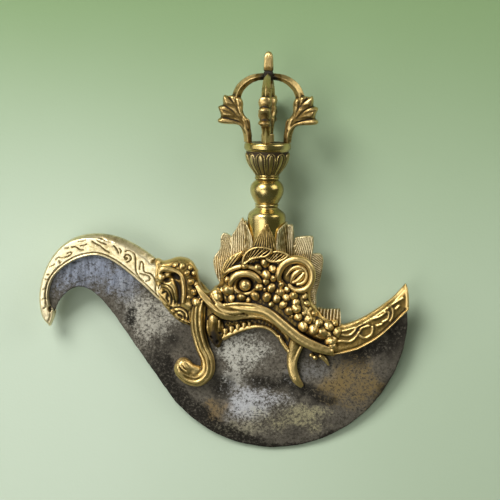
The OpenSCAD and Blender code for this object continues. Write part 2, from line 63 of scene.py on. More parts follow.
# Camera. The chopper lies on its rear side, and the camera looks down on it from 0.7 m, leaning a
# little so that the handle is seen from its side of the table. Sizes are written in mm for the
# chopper held upright: x to the right, y to the back, z up the handle.
rest_pitch = math.radians(8.15)
rest_roll = math.radians(0.05)
rest_shift = Vector((18.66, 4.24, 14.22))
laid = Matrix.Rotation(-rest_roll, 3, "Y") @ Matrix.Rotation(rest_pitch - math.pi / 2, 3, "X")


def on_table(points):
    """Takes upright points in mm to where they lie on the table, in metres."""
    turn = np.array(laid)
    return (np.asarray(points, float) @ turn.T + np.array(rest_shift)) / 1000


view_turn, view_roll, view_pitch = (math.radians(a) for a in (-1.35, -5, 7.5))
seen = (Matrix.Rotation(view_turn, 3, "Z") @ Matrix.Rotation(view_roll, 3, "Y")
        @ Matrix.Rotation(view_pitch - math.pi / 2, 3, "X"))
camera_above = 700
view_width = 220
handle_seen_at = Vector((7.01, 3.44, 15.5))
camera = bpy.data.objects.new("camera", bpy.data.cameras.new("camera"))
camera.data.angle = 2 * math.atan(view_width / 2 / camera_above)
camera.data.clip_start = 0.05
camera.rotation_euler = (laid @ seen.transposed()).to_euler()
from_handle = Vector((0, 0, camera_above)) - handle_seen_at
camera.location = (laid @ seen.transposed() @ from_handle + rest_shift) / 1000
bpy.context.scene.collection.objects.link(camera)
bpy.context.scene.camera = camera


# Blade. One plate of forged iron with a ground edge. Its tang runs through head and handle. The
# faces are mottled: blue-grey at the hook, pale in the middle, with brown and near-black stains,
# and painted shadow under the point's spine, the jaw and the trunk.
class Socket:
    """A socket of a node tree, on which +, - and * add Math nodes."""

    def __init__(self, nodes, link):
        self.nodes = nodes
        self.link = link

    def maths(self, operation, *others, clamp=False):
        return self.nodes.add("ShaderNodeMath", {"operation": operation, "use_clamp": clamp},
                              dict(enumerate([self, *others])))

    def __add__(self, other):
        return self.maths("ADD", other)

    def __sub__(self, other):
        return self.maths("SUBTRACT", other)

    def __mul__(self, other):
        return self.maths("MULTIPLY", other)

    def __radd__(self, other):
        return self + other

    def __rmul__(self, other):
        return self * other

    def __rsub__(self, other):
        return self * -1 + other

    def clamped(self):
        return self.maths("ADD", 0, clamp=True)

    def between(self, low, high):
        """0 under low, 1 over high and a smooth rise between."""
        return self.nodes.add("ShaderNodeMapRange", {"interpolation_type": "SMOOTHSTEP"},
                              {"Value": self, "From Min": low, "From Max": high})


class Nodes:
    """Adds nodes to one tree."""

    def __init__(self, tree):
        self.tree = tree

    def add(self, kind, settings=None, sockets=None, out=0):
        """A node with its settings made first, then the values or links of its sockets."""
        node = self.tree.nodes.new(kind)
        for name, value in (settings or {}).items():
            setattr(node, name, value)
        for name, value in (sockets or {}).items():
            if isinstance(value, Socket):
                self.tree.links.new(value.link, node.inputs[name])
            elif isinstance(value, tuple) and node.inputs[name].type == "RGBA":
                node.inputs[name].default_value = (*value, 1)
            else:
                node.inputs[name].default_value = value
        return Socket(self, node.outputs[out])

    def mix(self, share, first, second):
        """One colour turning into another."""
        return self.add("ShaderNodeMix", {"data_type": "RGBA"}, {0: share, 6: first, 7: second}, 2)

    def noise(self, where, scale, detail, roughness, distortion=0, out=0):
        """A cloudy pattern; out 1 gives it as a colour."""
        return self.add("ShaderNodeTexNoise", None, {
            "Vector": where, "Scale": scale, "Detail": detail, "Roughness": roughness,
            "Distortion": distortion}, out)

    def vector(self, operation, sockets, out=0):
        """A Vector Math node with its numbered sockets."""
        return self.add("ShaderNodeVectorMath", {"operation": operation}, sockets, out)

    def bump(self, relief, strength, distance):
        """A normal that follows a relief, with its depth in metres."""
        return self.add("ShaderNodeBump", None, {
            "Height": relief, "Strength": strength, "Distance": distance}, "Normal")


def finish_named(name, surface):
    """A material whose Principled shader takes the sockets that surface(nodes, where) gives."""
    material = bpy.data.materials.new(name)
    material.use_nodes = True
    nodes = Nodes(material.node_tree)
    shader = material.node_tree.nodes["Principled BSDF"]
    where = nodes.add("ShaderNodeTexCoord", None, None, "Object")
    for socket, value in surface(nodes, where).items():
        if isinstance(value, Socket):
            material.node_tree.links.new(value.link, shader.inputs[socket])
        else:
            shader.inputs[socket].default_value = value
    return material


def stretched(nodes, where, turn, size):
    """Coordinates turned in the blade's plane and stretched, for marks that run one way."""
    return nodes.add("ShaderNodeMapping", None, {
        "Vector": where, "Rotation": (0, 0, math.radians(turn)), "Scale": size})


def forged_iron(nodes, where):
    cloud = nodes.noise(where, 45, 6, 0.62, 0.4)
    speck = nodes.noise(where, 850, 6, 0.8)
    grain = nodes.noise(where, 1500, 2, 0.6)
    brushed = nodes.noise(stretched(nodes, where, -12, (520, 45, 300)), 1, 5, 0.7)
    flakes = (cloud * 1.1 + speck * 1.7 - 1.1).between(0.05, 0.55)
    drift = nodes.noise(where, 110, 6, 0.72, out=1)
    sway = 14
    ragged = nodes.vector("MULTIPLY_ADD", {0: drift, 1: (sway / 1000, sway / 1000, 0), 2: where})
    plate_x, plate_y = 18.7 + sway / 2, 4.2 + sway / 2

    def spread(x, y, wide, high, turn=0):
        """0 at a place on the blade and 1 on an ellipse round it, in millimetres and degrees."""
        local = nodes.add("ShaderNodeMapping", {"vector_type": "TEXTURE"}, {
            "Vector": ragged, "Location": ((x + plate_x) / 1000, (y * 0.99 + plate_y) / 1000, 0),
            "Rotation": (0, 0, math.radians(turn)), "Scale": (wide / 1000, high / 1000, 1)})
        return nodes.vector("LENGTH", {0: local}, "Value")

    def patch(*place):
        """A ragged patch round a place on the blade."""
        return (1.1 - spread(*place) + (cloud - 0.5) * 3.0 + (speck - 0.5) * 2.2).between(0.1, 0.9)

    mottle = (cloud * 1.3 + speck * 1.9 - 1.1).clamped()
    iron = nodes.mix(mottle, (0.022, 0.018, 0.013), (0.21, 0.185, 0.145))
    streaks = (brushed * 2.4 + speck * 0.9 - 1.1).clamped()
    blue = patch(-82, -12, 20, 17).maths("MAXIMUM", patch(-62, -17, 12, 12)) * (0.6 + flakes * 0.4)
    iron = nodes.mix(blue, iron, nodes.mix(streaks, (0.06, 0.07, 0.095), (0.35, 0.38, 0.46)))

    # Pale and brown patches: each with its place and size in mm, its share and its colour.
    for x, y, wide, high, share, colour in (
            (-58, -27, 9, 12, 0.6, (0.3, 0.29, 0.26)), (-48, -34, 13, 13, 0.9, (0.52, 0.49, 0.41)),
            (-9, -48, 12, 10, 0.9, (0.56, 0.54, 0.47)), (-13, -59, 6, 6, 0.8, (0.5, 0.48, 0.42)),
            (-4, -71, 16, 8.5, 0.9, (0.54, 0.54, 0.56)), (13, -77.5, 19, 7, 0.85, (0.4, 0.36, 0.2)),
            (39, -62, 17, 12, 0.9, (0.22, 0.15, 0.055)), (-21, -73, 6, 6, 0.75, (0.22, 0.14, 0.05)),
            (21, -55, 9, 6, 0.6, (0.22, 0.22, 0.22)), (-4, -82.5, 16, 3.5, 0.8, (0.32, 0.29, 0.2))):
        iron = nodes.mix(patch(x, y, wide, high) * flakes * share, iron, colour)
    pits = (0.5 - speck).between(0.03, 0.1) * cloud.between(0.35, 0.6)
    iron = nodes.mix(pits * 0.75, iron, (0.022, 0.018, 0.014))

    # Near-black stains, partly painted shadow that the point's spine, the jaw's end and the trunk's curl
    # cast on the blade, and a dark rim along the curved edge.
    stains_and_shadow = patch(56, -40, 10, 16, -12)
    for place in ((-19, -64, 7, 7), (22, -67, 14, 4.5, -18), (1, -61, 12, 3.5, -4), (46, -46, 16, 6, 22),
                  (-40, -44, 7, 7), (-58.5, -34, 2, 6, -14), (54, -62, 5, 12, -35)):
        stains_and_shadow = stains_and_shadow.maths("MAXIMUM", patch(*place))
    rim = (spread(8, -36, 52.3, 52.3) - 0.95 + (cloud - 0.5) * 0.2).between(0, 0.05)
    stains_and_shadow = stains_and_shadow.maths("MAXIMUM", rim * (1.25 - spread(8, -70, 58, 40)).between(0, 0.3))
    stains_and_shadow = stains_and_shadow * (1 - speck.between(0.5, 0.64) * 0.7)
    iron = nodes.mix(stains_and_shadow * 0.92, iron, (0.013, 0.011, 0.008))
    relief = cloud * 0.5 + speck * 0.5 + brushed * 0.25 + grain * 0.15
    return {"Base Color": iron, "Metallic": 0.3, "Specular IOR Level": 0.12,
            "Roughness": (0.48 + speck * 0.25).clamped(), "Normal": nodes.bump(relief, 0.45, 0.0006)}


iron = finish_named("forged_iron", forged_iron)


def curve(points, steps):
    """A smooth run through rows of numbers, with steps between neighbours."""
    p = np.asarray(points, float)
    p = np.vstack([p[:1], p, p[-1:]])
    runs = []
    for a, b, c, d in zip(p, p[1:], p[2:], p[3:]):
        t = np.arange(steps)[:, None] / steps
        runs.append(0.5 * (2 * b + (c - a) * t + (2 * a - 5 * b + 4 * c - d) * t ** 2
                           + (3 * b - a - 3 * c + d) * t ** 3))
    return np.vstack([*runs, p[-1:]])


def merge(a, b, soften=0):
    """The nearer of two surfaces, with a fillet where they meet."""
    if not soften:
        return np.minimum(a, b)
    blend = np.maximum(soften - np.abs(a - b), 0)
    return np.minimum(a, b) - blend * blend / (4 * soften)


class Wax:
    """A block of modelling wax: for each point of a grid, how far it lies outside the surface.

    The grid's axes are x, the height over the blade's middle plane towards the front, and z.
    """

    well_outside = 9

    def __init__(self, low, high, step):
        self.step = np.broadcast_to(step, 3).astype(float)
        self.axes = [np.arange(a, b + s, s).astype(np.float32) for a, b, s in zip(low, high, self.step)]
        self.far = np.full([len(a) for a in self.axes], self.well_outside, np.float32)

    def section(self, low, high):
        """The part of the block between two corners, and its coordinates."""
        part = tuple(slice(*np.searchsorted(a, (l, h))) for a, l, h in zip(self.axes, low, high))
        return part, np.meshgrid(*(a[p] for a, p in zip(self.axes, part)), indexing="ij", sparse=True)

    def plane(self):
        """The coordinates of the blade's plane."""
        return np.meshgrid(self.axes[0], self.axes[2], indexing="ij", sparse=True)

    def empty_copy(self):
        """An empty block with the same grid."""
        other = Wax.__new__(Wax)
        other.step, other.axes = self.step, self.axes
        other.far = np.full_like(self.far, self.well_outside)
        return other

    def join(self, part, near, soften, carve):
        """Lays a shape on part of the block, or carves it out."""
        far = self.far[part]
        self.far[part] = -merge(-far, near, soften) if carve else merge(far, near, soften)

    def strand(self, path, soften=0.4, grooves=0, depth=0, twist=0, carve=False):
        """Lays or carves a tapering strand along rows of x, height, z and radius."""
        path = np.asarray(path, np.float32)
        reach = path[:, 3].max() + 1.6
        part, _ = self.section(path[:, :3].min(0) - reach, path[:, :3].max(0) + reach)
        near = np.full(self.far[part].shape, self.well_outside, np.float32)
        run = 0.0
        for a, b in zip(path, path[1:]):
            inner, (x, h, z) = self.section(np.minimum(a, b)[:3] - reach, np.maximum(a, b)[:3] + reach)
            if 0 in (x.size, h.size, z.size):
                continue
            along = (b - a)[:3]
            length = float(np.linalg.norm(along)) + 1e-6
            t = np.clip(((x - a[0]) * along[0] + (h - a[1]) * along[1] + (z - a[2]) * along[2])
                        / length ** 2, 0, 1)
            dx, dh, dz = x - a[0] - t * along[0], h - a[1] - t * along[1], z - a[2] - t * along[2]
            gap = np.sqrt(dx * dx + dh * dh + dz * dz) - (a[3] + t * (b[3] - a[3]))
            if grooves:
                side = (dx * along[2] - dz * along[0]) / max(math.hypot(along[0], along[2]), 1e-6)
                gap = gap + depth * (0.5 + 0.5 * np.cos(
                    grooves * np.arctan2(side, dh) + twist * (run + t * length)))
            run += length
            local = tuple(slice(i.start - p.start, i.stop - p.start) for i, p in zip(inner, part))
            near[local] = np.minimum(near[local], gap)
        self.join(part, near, soften, carve)

    def ball(self, x, height, z, radius, soften, carve=False, size=(1, 1, 1), turn=0):
        """Lays or carves a ball, stretched by size and turned in the blade's plane."""
        reach = radius * max(size) + 1
        part, (gx, gh, gz) = self.section((x - reach, height - reach, z - reach),
                                         (x + reach, height + reach, z + reach))
        if 0 in (gx.size, gh.size, gz.size):
            return
        c, s = math.cos(turn), math.sin(turn)
        dx, dz = gx - x, gz - z
        across, up = (dx * c + dz * s) / size[0], (dz * c - dx * s) / size[2]
        near = (np.sqrt(across ** 2 + ((gh - height) / size[1]) ** 2 + up ** 2) - radius) * min(size)
        self.join(part, near.astype(np.float32), soften, carve)

    def plate(self, inside, top, bottom, soften):
        """Lays a plate where inside is negative, from the height bottom to top over each point, or
        from -top without a bottom."""
        height = self.axes[1][None, :, None]
        top = np.asarray(top, np.float32)
        if top.ndim:
            top = top[:, None, :]
        under = -height - top if bottom is None else bottom - height
        slab = -merge(-np.maximum(height - top, under), -inside[:, None, :], soften)
        self.far = merge(self.far, slab.astype(np.float32), 0.3)

    def cut(self, other, gap=0):
        """Takes away what another block's shape holds."""
        self.far = np.maximum(self.far, gap - other)

    def surface(self, ease):
        """The surface as upright points and faces that point outwards, with fewer where it is flat."""
        grid = openvdb.FloatGrid(3.0)
        grid.copyFromArray(np.ascontiguousarray(np.clip(self.far / self.step.max(), -3, 3)))
        points, triangles, quads = grid.convertToPolygons(isovalue=0, adaptivity=ease)
        points = points * self.step + [a[0] for a in self.axes]
        points = np.column_stack([points[:, 0], -points[:, 1], points[:, 2]])
        return outwards(points, [triangles, quads])


def outwards(points, groups):
    """The points with groups of faces of equal size, turned to point out of the volume."""
    volume = 0
    for faces in groups:
        if len(faces):
            a, b, c = (points[faces[:, k]] for k in (0, 1, 2))
            volume += np.einsum("ij,ij->i", a, np.cross(b, c)).sum()
            if faces.shape[1] == 4:
                volume += np.einsum("ij,ij->i", a, np.cross(c, points[faces[:, 3]])).sum()
    return points, [f if volume > 0 else f[:, ::-1] for f in groups if len(f)]


def line_gap(wax, line):
    """How far each point of the blade's plane lies from an open line."""
    x, z = wax.plane()
    near = np.full((x.size, z.size), 1e9, np.float32)
    for a, b in zip(np.asarray(line, np.float32), np.asarray(line[1:], np.float32)):
        edge = b - a
        t = np.clip(((x - a[0]) * edge[0] + (z - a[1]) * edge[1]) / max(edge @ edge, 1e-9), 0, 1)
        near = np.minimum(near, (x - a[0] - t * edge[0]) ** 2 + (z - a[1] - t * edge[1]) ** 2)
    return np.sqrt(near)


def outline_gap(wax, line):
    """How far each point of the blade's plane lies outside a closed line."""
    x, z = wax.plane()
    line = np.asarray(line, np.float32)
    near = line_gap(wax, np.vstack([line, line[:1]]))
    within = np.zeros(near.shape, bool)
    for a, b in zip(line, np.roll(line, -1, 0)):
        if a[1] != b[1]:
            crossed = (z > min(a[1], b[1])) & (z <= max(a[1], b[1]))
            within ^= crossed & (x < a[0] + (z - a[1]) / (b[1] - a[1]) * (b[0] - a[0]))
    return np.where(within, -near, near)


def mesh_of(name, parts, material, hollow=None):
    """One mesh from lists of upright points and groups of faces, smooth, with its hollows stored."""
    points = np.vstack([p for p, _ in parts])
    starts = np.cumsum([0] + [len(p) for p, _ in parts])
    groups = [f + start for (_, faces), start in zip(parts, starts) for f in faces]
    mesh = bpy.data.meshes.new(name)
    corners = np.concatenate([f.ravel() for f in groups]).astype(np.int32)
    sizes = np.concatenate([np.full(len(f), f.shape[1]) for f in groups])
    mesh.vertices.add(len(points))
    mesh.vertices.foreach_set("co", on_table(points).astype(np.float32).ravel())
    mesh.loops.add(len(corners))
    mesh.loops.foreach_set("vertex_index", corners)
    mesh.polygons.add(len(sizes))
    mesh.polygons.foreach_set("loop_start", np.concatenate([[0], np.cumsum(sizes)[:-1]]).astype(np.int32))
    mesh.update(calc_edges=True)
    mesh.validate()
    mesh.shade_smooth()
    store = mesh.attributes.new("hollow", "FLOAT", "POINT")
    depth = np.zeros(len(points)) if hollow is None else hollow
    store.data.foreach_set("value", np.asarray(depth, np.float32))
    mesh.materials.append(material)
    return mesh


def fit_piece(name, mesh, slot, *nodes):
    """Puts a finished mesh on the chopper in place of its frame nodes."""
    piece = bpy.data.objects.new(name, mesh)
    bpy.context.scene.collection.objects.link(piece)
    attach(piece, body)
    if nodes:
        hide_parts(*nodes)


def turned(profile, sides, relief=None):
    """Points and faces of a solid turned about the handle.

    The profile has rows of radius and height. The relief is how far each point stands out over its row.
    """
    relief = np.zeros((len(profile), sides)) if relief is None else relief
    angles = np.arange(sides) * 2 * math.pi / sides
    ring = np.column_stack([np.cos(angles), np.sin(angles)])
    points = [np.column_stack([ring * (r + out[:, None]), np.full(sides, z)])
              for (r, z), out in zip(profile, relief)]
    points += [[[0, 0, profile[0][1]], [0, 0, profile[-1][1]]]]
    k = np.arange(sides)
    after = (k + 1) % sides
    quads = np.vstack([np.column_stack([k, after, after + sides, k + sides]) + row * sides
                       for row in range(len(profile) - 1)])
    top = (len(profile) - 1) * sides
    ends = len(profile) * sides
    caps = np.vstack([np.column_stack([after, k, np.full(sides, ends)]),
                      np.column_stack([k + top, after + top, np.full(sides, ends + 1)])])
    return outwards(np.vstack(points), [quads, caps])


seat_z = -5
tang_diameter = 4.5
tang_top = 40.9
blade_thickness = 2.4
edge_half_thickness = 0.42
bevel_width = 9
fit = 0.1
face_gap = 0.08

# The edge runs from the point round to the hook's tip. The spines' outer and inner lines run along
# the blade's back, all as x and z.
edge_line = curve([
    [61.1, -27.6], [61.3, -34.5], [60.5, -42], [58.1, -50.6], [54.5, -58.8], [49.2, -67],
    [42, -75], [33.3, -81.5], [24.6, -85.9], [15.9, -88.8], [7.2, -90.2], [-1.6, -90.1],
    [-10.4, -88.8], [-19.2, -85.7], [-28.1, -80.7], [-37, -73.4], [-43.2, -65.8],
    [-49, -57.6], [-59.2, -43.2], [-68, -31.1], [-72.5, -26.1], [-76.9, -22.6],
    [-81.3, -21.6], [-85.7, -23.1], [-89.3, -26.5], [-92, -31.4]], 4)
hook_outer = curve([
    [-94.7, -39.3], [-97.8, -35.4], [-99, -29.2], [-98.9, -23.5], [-97.2, -16.4], [-93.6, -8.8],
    [-88.3, -2.9], [-81.7, 0.7], [-73.8, 2], [-65.8, 1.1], [-59.3, -1.2], [-53.6, -4.3],
    [-48.2, -8.1]], 6)
hook_inner = curve([
    [-94.1, -38.9], [-92.2, -33], [-94.2, -29.1], [-94.5, -23.8], [-93, -18.7], [-89.7, -14.4],
    [-85.2, -11], [-80.4, -8.7], [-74.2, -7.4], [-68.9, -8.6], [-63.6, -11.6], [-57.9, -16],
    [-51.5, -21.4]], 6)
point_outer = curve([[59.7, -16.7], [54.6, -22.5], [46, -29.1], [39.6, -32.9], [34, -35]], 6)
point_inner = curve([[61.8, -27.6], [50.6, -39.1], [42, -44.8], [37.8, -46.5], [33.3, -47.7]], 6)

# The plate's own back lies inside the spines, and inside the head it leads to the flat tang.
hook_back = (hook_outer + 2 * hook_inner)[4:] / 3
point_back = (point_outer + 2 * point_inner)[::-1] / 3
head_back = [[-46, -20], [-38, -25], [-28, -29], [-20, -29], [-12, -26], [-5, -20],
             [-3, -18], [-3, seat_z - 4], [3, seat_z - 4], [3, -18], [5, -20],
             [12, -28], [20, -35], [28, -40.5]]
blade_line = np.vstack([edge_line, hook_back, head_back, point_back[:-2]])

plate = Wax((-99, -1.7, -92), (63, 1.7, -1), (0.55, 0.2, 0.55))
to_edge = line_gap(plate, edge_line)
x, z = plate.plane()
chips = (0.1 * np.sin(2.3 * x + 1.1 * z) * np.sin(0.9 * x - 1.7 * z)
         + 0.14 * np.sin(0.37 * x + 0.9) * np.sin(0.5 * z))
ground = np.clip(to_edge / bevel_width, 0, 1)
half = edge_half_thickness + (blade_thickness / 2 - edge_half_thickness) * (1 - (1 - ground) ** 1.6)
half = half + 0.05 * np.sin(0.31 * x + 0.5) * np.sin(0.27 * z) + 0.03 * np.sin(0.8 * x - 0.6 * z)
half = np.minimum(half, blade_thickness / 2 + 0.04)
plate.plate(outline_gap(plate, blade_line) + chips * np.exp(-to_edge / 2), half, None, 0.5)
rod = turned([[tang_diameter / 2, seat_z - 6], [tang_diameter / 2, tang_top]], 32)
fit_piece("forged_blade", mesh_of("forged_blade", [plate.surface(0.04), rod], iron), "iron", "blade")


# Spines. Cast brass strips that close over the blade's back. Each has a rolled outer edge, a bead
# beside the blade, and scrolls cut between them on the hook and raised between them on the point.
def cast_brass(ridge, flat):
    """A cast brass: one colour on ridges, one on the flat, and olive to black in crevices."""
    def surface(nodes, where):
        hollow = nodes.add("ShaderNodeAttribute", {"attribute_name": "hollow"}, None, "Fac")
        cloud = nodes.noise(where, 110, 4, 0.6)
        fine = nodes.noise(where, 700, 5, 0.7)
        deep = (hollow + (cloud - 0.5) * 0.5 + (fine - 0.5) * 0.5).clamped()
        olive, black = deep.between(0.14, 0.42), deep.between(0.36, 0.74)
        gold = nodes.mix(deep.between(0.02, 0.24), ridge, flat)
        gold = nodes.mix(olive, gold, (0.17, 0.11, 0.03))
        gold = nodes.mix(black, gold, (0.016, 0.01, 0.004))
        relief = cloud * 0.5 + fine * 0.35 + nodes.noise(where, 300, 3, 0.5) * 0.5
        return {"Base Color": gold, "Metallic": (0.95 - black * 0.5).clamped(),
                "Roughness": (0.27 + fine * 0.14 + olive * 0.1 + black * 0.2).clamped(),
                "Normal": nodes.bump(relief, 0.55, 0.0006)}
    return surface


brass = finish_named("cast_brass", cast_brass((0.7, 0.5, 0.2), (0.28, 0.178, 0.048)))
dark_brass = finish_named("dark_brass", cast_brass((0.62, 0.44, 0.18), (0.2, 0.122, 0.034)))
# The pale brass of the hook's spine, the mane and the jaw comb is partly wear and partly a painted sheen:
# their flats are made paler to stand in for the window they reflect.
worn_brass = finish_named("worn_brass", cast_brass((0.84, 0.71, 0.45), (0.66, 0.54, 0.29)))


def at_points(axes, field, points):
    """A field's value at points, read between the grid's nodes."""
    low, share = [], []
    for axis, values in zip(axes, points.T):
        place = np.clip((values - axis[0]) / (axis[1] - axis[0]), 0, len(axis) - 1.001)
        low.append(place.astype(int))
        share.append(place - low[-1])
    total = 0
    for corner in np.ndindex(*[2] * len(axes)):
        weight = np.prod([s if c else 1 - s for c, s in zip(corner, share)], 0)
        total = total + weight * field[tuple(i + c for i, c in zip(low, corner))]
    return total


def blurred(field, cells):
    """The mean of a field over a cube round each point."""
    for axis in range(3):
        ends = [(0, 0)] * 3
        ends[axis] = (cells + 1, cells)
        run = np.cumsum(np.pad(field, ends, mode="edge"), axis, dtype=np.float32)
        size = field.shape[axis]
        field = (np.take(run, np.arange(2 * cells + 1, 2 * cells + 1 + size), axis)
                 - np.take(run, np.arange(size), axis)) / (2 * cells + 1)
    return field


def hollows(wax, points, fine=0.6, wide=2):
    """How deep each point lies between its neighbours: 0 on a ridge, 1 in a crevice."""
    solid = np.clip(0.5 - wax.far / wax.step.max(), 0, 1)
    places = points * (1, -1, 1)
    near, far = (at_points(wax.axes, blurred(solid, max(1, round(size / wax.step.max()))), places)
                 for size in (fine, wide))
    return np.clip(0.17 + 2.1 * (near - 0.5) + 2.1 * (far - 0.5), 0, 1)


def cast(name, wax, node, company=None, marks=None, rear=None, finish=brass):
    """Casts a block's shape in brass, and its mirror image for a rear node.

    Company is a block with the piece and its neighbours, from which crevices are told.
    """
    points, faces = wax.surface(0.02)
    depth = hollows(company or wax, points)
    if marks is not None:
        depth = np.clip(depth + at_points(wax.axes[::2], marks, points[:, ::2]), 0, 1)
    fit_piece(name, mesh_of(name, [(points, faces)], finish, depth), "cast_brass", node)
    if rear:
        mirrored = outwards(points * (1, -1, 1), faces)
        name = name.replace("front", "rear")
        fit_piece(name, mesh_of(name, [mirrored], finish, depth), "cast_brass", rear)


def blade_room(wax):
    """The slot that the blade fills in a casting."""
    room = outline_gap(wax, blade_line)[:, None, :] - fit
    return np.maximum(room, np.abs(wax.axes[1])[None, :, None] - blade_thickness / 2 - face_gap)


def mark(gap, width):
    """A soft-sided line: 1 in its middle."""
    return np.exp(-(gap / width) ** 2)


spine_half_thickness = 3.45


def spine(outer, inner, cuts, ridges, tip, end=()):
    """One spine, thinner toward its tip, with lines cut in or raised on its face, and its dark marks: dirt
    in those lines, and on the hook a painted shade along the outer bevel.
    """
    low, high = np.vstack([outer, inner]).min(0) - 1, np.vstack([outer, inner]).max(0) + 1
    wax = Wax((low[0], -4.3, low[1]), (high[0], 4.3, high[1]), 0.25)
    inside = outline_gap(wax, np.vstack([outer, inner[::-1], *end]))
    to_outer, to_inner = line_gap(wax, outer), line_gap(wax, inner)
    x, z = wax.plane()
    thin = 0.66 + 0.34 * np.clip(np.hypot(x - tip[0], z - tip[1]) / 10, 0, 1)
    bevel = 0.9 + 1.5 * np.clip((x + 85) / 15, 0, 1)
    half = spine_half_thickness - 0.35 * mark(to_inner - 1.35, 0.3) + 0.2 * mark(to_inner - 0.75, 0.5)
    half = half - 2 * np.clip(1 - to_outer / bevel, 0, 1) - 1.2 * np.clip(1 - to_inner / 0.8, 0, 1) ** 2
    marks = 0.2 * mark(to_inner - 1.35, 0.35)
    # Painted shade on the hook's outer bevel, which turns away from the light, growing toward the head.
    marks = marks + 0.17 * np.clip(1.2 - to_outer / bevel, 0, 1) * np.clip((x + 90) / 20, 0, 1) * (x < 0)
    for line in cuts:
        gap = line_gap(wax, line)
        half = half - 0.2 * mark(gap, 0.25)
        marks = marks + 0.22 * mark(gap, 0.22)
    for line in ridges:
        gap = line_gap(wax, line)
        half = half + 0.45 * mark(gap, 0.42)
        marks = marks - 0.25 * mark(gap, 0.5) + 0.16 * mark(gap - 1, 0.5)
    wax.plate(inside, half * thin, None, 0.5)
    wax.cut(blade_room(wax))
    return wax, marks


# The hook's scrolls, one line each, as the camera sees them: it leans 1.4 degrees off upright.
hook_scrolls = [
    [[-61.6, -5.2], [-60.6, -5.6], [-61.2, -6.2], [-61.9, -5], [-60.9, -4], [-59.4, -4.5], [-58.9, -5.8],
     [-59.7, -6.9], [-60.9, -7.3]],
    [[-61.4, -2.6], [-60, -2.2], [-58.2, -3], [-57.2, -4.6], [-56.9, -7.5], [-56.9, -10], [-56.4, -12.2],
     [-55, -14.4], [-53.5, -15.6]],
    [[-55.2, -10.4], [-55, -8.4], [-54.4, -7], [-53.7, -8], [-53.4, -10], [-53.2, -11.4], [-52, -12],
     [-50.4, -12.4], [-49.2, -13.6], [-48.3, -15.2]],
    [[-55, -12.3], [-53.4, -12.7], [-51.6, -13.2], [-50.7, -14.2], [-51, -15.2], [-52.4, -15.7]],
    [[-48.3, -15.3], [-48.1, -17], [-48.2, -19], [-48, -21]],
    [[-66.5, -0.2], [-65.8, -0.8], [-65, -2], [-64.4, -3.4]], [[-64, -1.4], [-63.3, -2.4], [-63.6, -3.4]],
    [[-73.8, 2.2], [-72.5, 1.4], [-71, 0.8], [-69.8, 0.4]],
    [[-76, 1.8], [-74.5, 0.8], [-72.6, -0.2], [-71.3, -1.3], [-70, -2.3], [-68.6, -3]],
    [[-72.4, 3], [-70.6, 2.3], [-69, 1.6], [-67.6, 1.3]], [[-81.8, 1.8], [-80, 1.9], [-78.7, 2.5]],
    [[-81, -0.2], [-79.8, -0.1], [-78.4, 0.5]],
    [[-85, -0.9], [-83.6, -0.6], [-82.4, -1.1], [-81.2, -2], [-79.8, -2]],
    [[-88.1, -1], [-87.3, -1.4], [-86.4, -1]],
    [[-87, -3.6], [-85.8, -3], [-85, -3.2], [-85.6, -4.2], [-86.8, -4.9], [-88.4, -5.3], [-90.4, -5.3],
     [-91.4, -5.7], [-91.9, -6.3]],
    [[-90.5, -6.8], [-90.1, -7.8], [-89.6, -7.2]], [[-95, -9.4], [-93.6, -9], [-92.4, -8.3]],
    [[-96, -12.8], [-95, -12.8]], [[-96.8, -15], [-95.4, -15]], [[-97.6, -19.4], [-96.4, -18.8]],
    [[-98, -24], [-96.8, -23.2], [-96, -23.8]], [[-97.6, -28], [-96.4, -27.2]]]
hook_cuts = [curve([(x + 0.8, z - 1 + 0.024 * x) for x, z in line], 4) for line in hook_scrolls]
hook, hook_dirt_and_shade = spine(
    np.vstack([hook_outer, [[-48.4, -8.5], [-44.2, -9.6]]]),
    np.vstack([hook_inner, [[-48.2, -24.6], [-43.8, -28.4]]]), hook_cuts, [], (-94.5, -39))
for claw_side in (3.2, -3.2):
    hook.ball(-94.1, claw_side, -31.3, 0.8, 0.2, carve=True, size=(1, 3, 2))
hook.ball(-67.5, 3.4, 0.6, 0.9, 0.3, carve=True, size=(1.6, 1, 1))
cast("hook_spine_cast", hook, "hook_spine", marks=hook_dirt_and_shade, finish=worn_brass)

long_outer = np.vstack([point_outer, [[31.4, -35.6], [28, -36.6]]])
long_inner = np.vstack([point_inner, [[30.6, -48.2], [28, -48.4]]])
outer_border = long_outer + (long_inner - long_outer) * 0.17
inner_border = long_outer + (long_inner - long_outer) * 0.93
scrolls = [
    [[29.6, -39.4], [33, -39], [36.4, -39.2], [38.5, -37.6], [39.8, -35.4], [41.9, -34]],
    [[29.4, -42.6], [33, -41.7], [36.9, -41.8], [39.4, -39.8], [40.2, -38]],
    [[40.7, -37.6], [40.9, -39.1], [43.3, -40.1], [45.8, -38.7], [46.6, -36.5], [46.4, -35.2]],
    [[41.1, -37.1], [41.9, -35.8], [44.9, -34.8]], [[46.5, -31.7], [49.1, -30.8], [51.6, -29]],
    [[50.8, -32.9], [52.9, -31.5], [53.1, -28.9], [51.6, -28.5]],
    [[53.6, -25.9], [55, -28], [54.8, -30.6], [53.8, -32.4]],
    [[53.6, -25.9], [56.2, -24.1], [59.1, -22.5]], [[56.2, -27.1], [57.5, -25.8]],
    [[48.5, -34.6], [50.4, -33.8]]]
end_ridge = curve([[60.2, -18], [60.9, -21.4], [61.1, -25], [60.9, -28]], 4)
point_ridges = [outer_border, inner_border, end_ridge, *(curve(line, 5) for line in scrolls)]
point_end = [[[61.75, -25], [61.6, -21.5], [61.1, -18.6], [60.6, -17.2], [60.1, -16.5]]]
point, point_marks = spine(long_outer, long_inner, [], point_ridges, (60.5, -18), point_end)
cast("point_spine_cast", point, "point_spine", marks=point_marks)


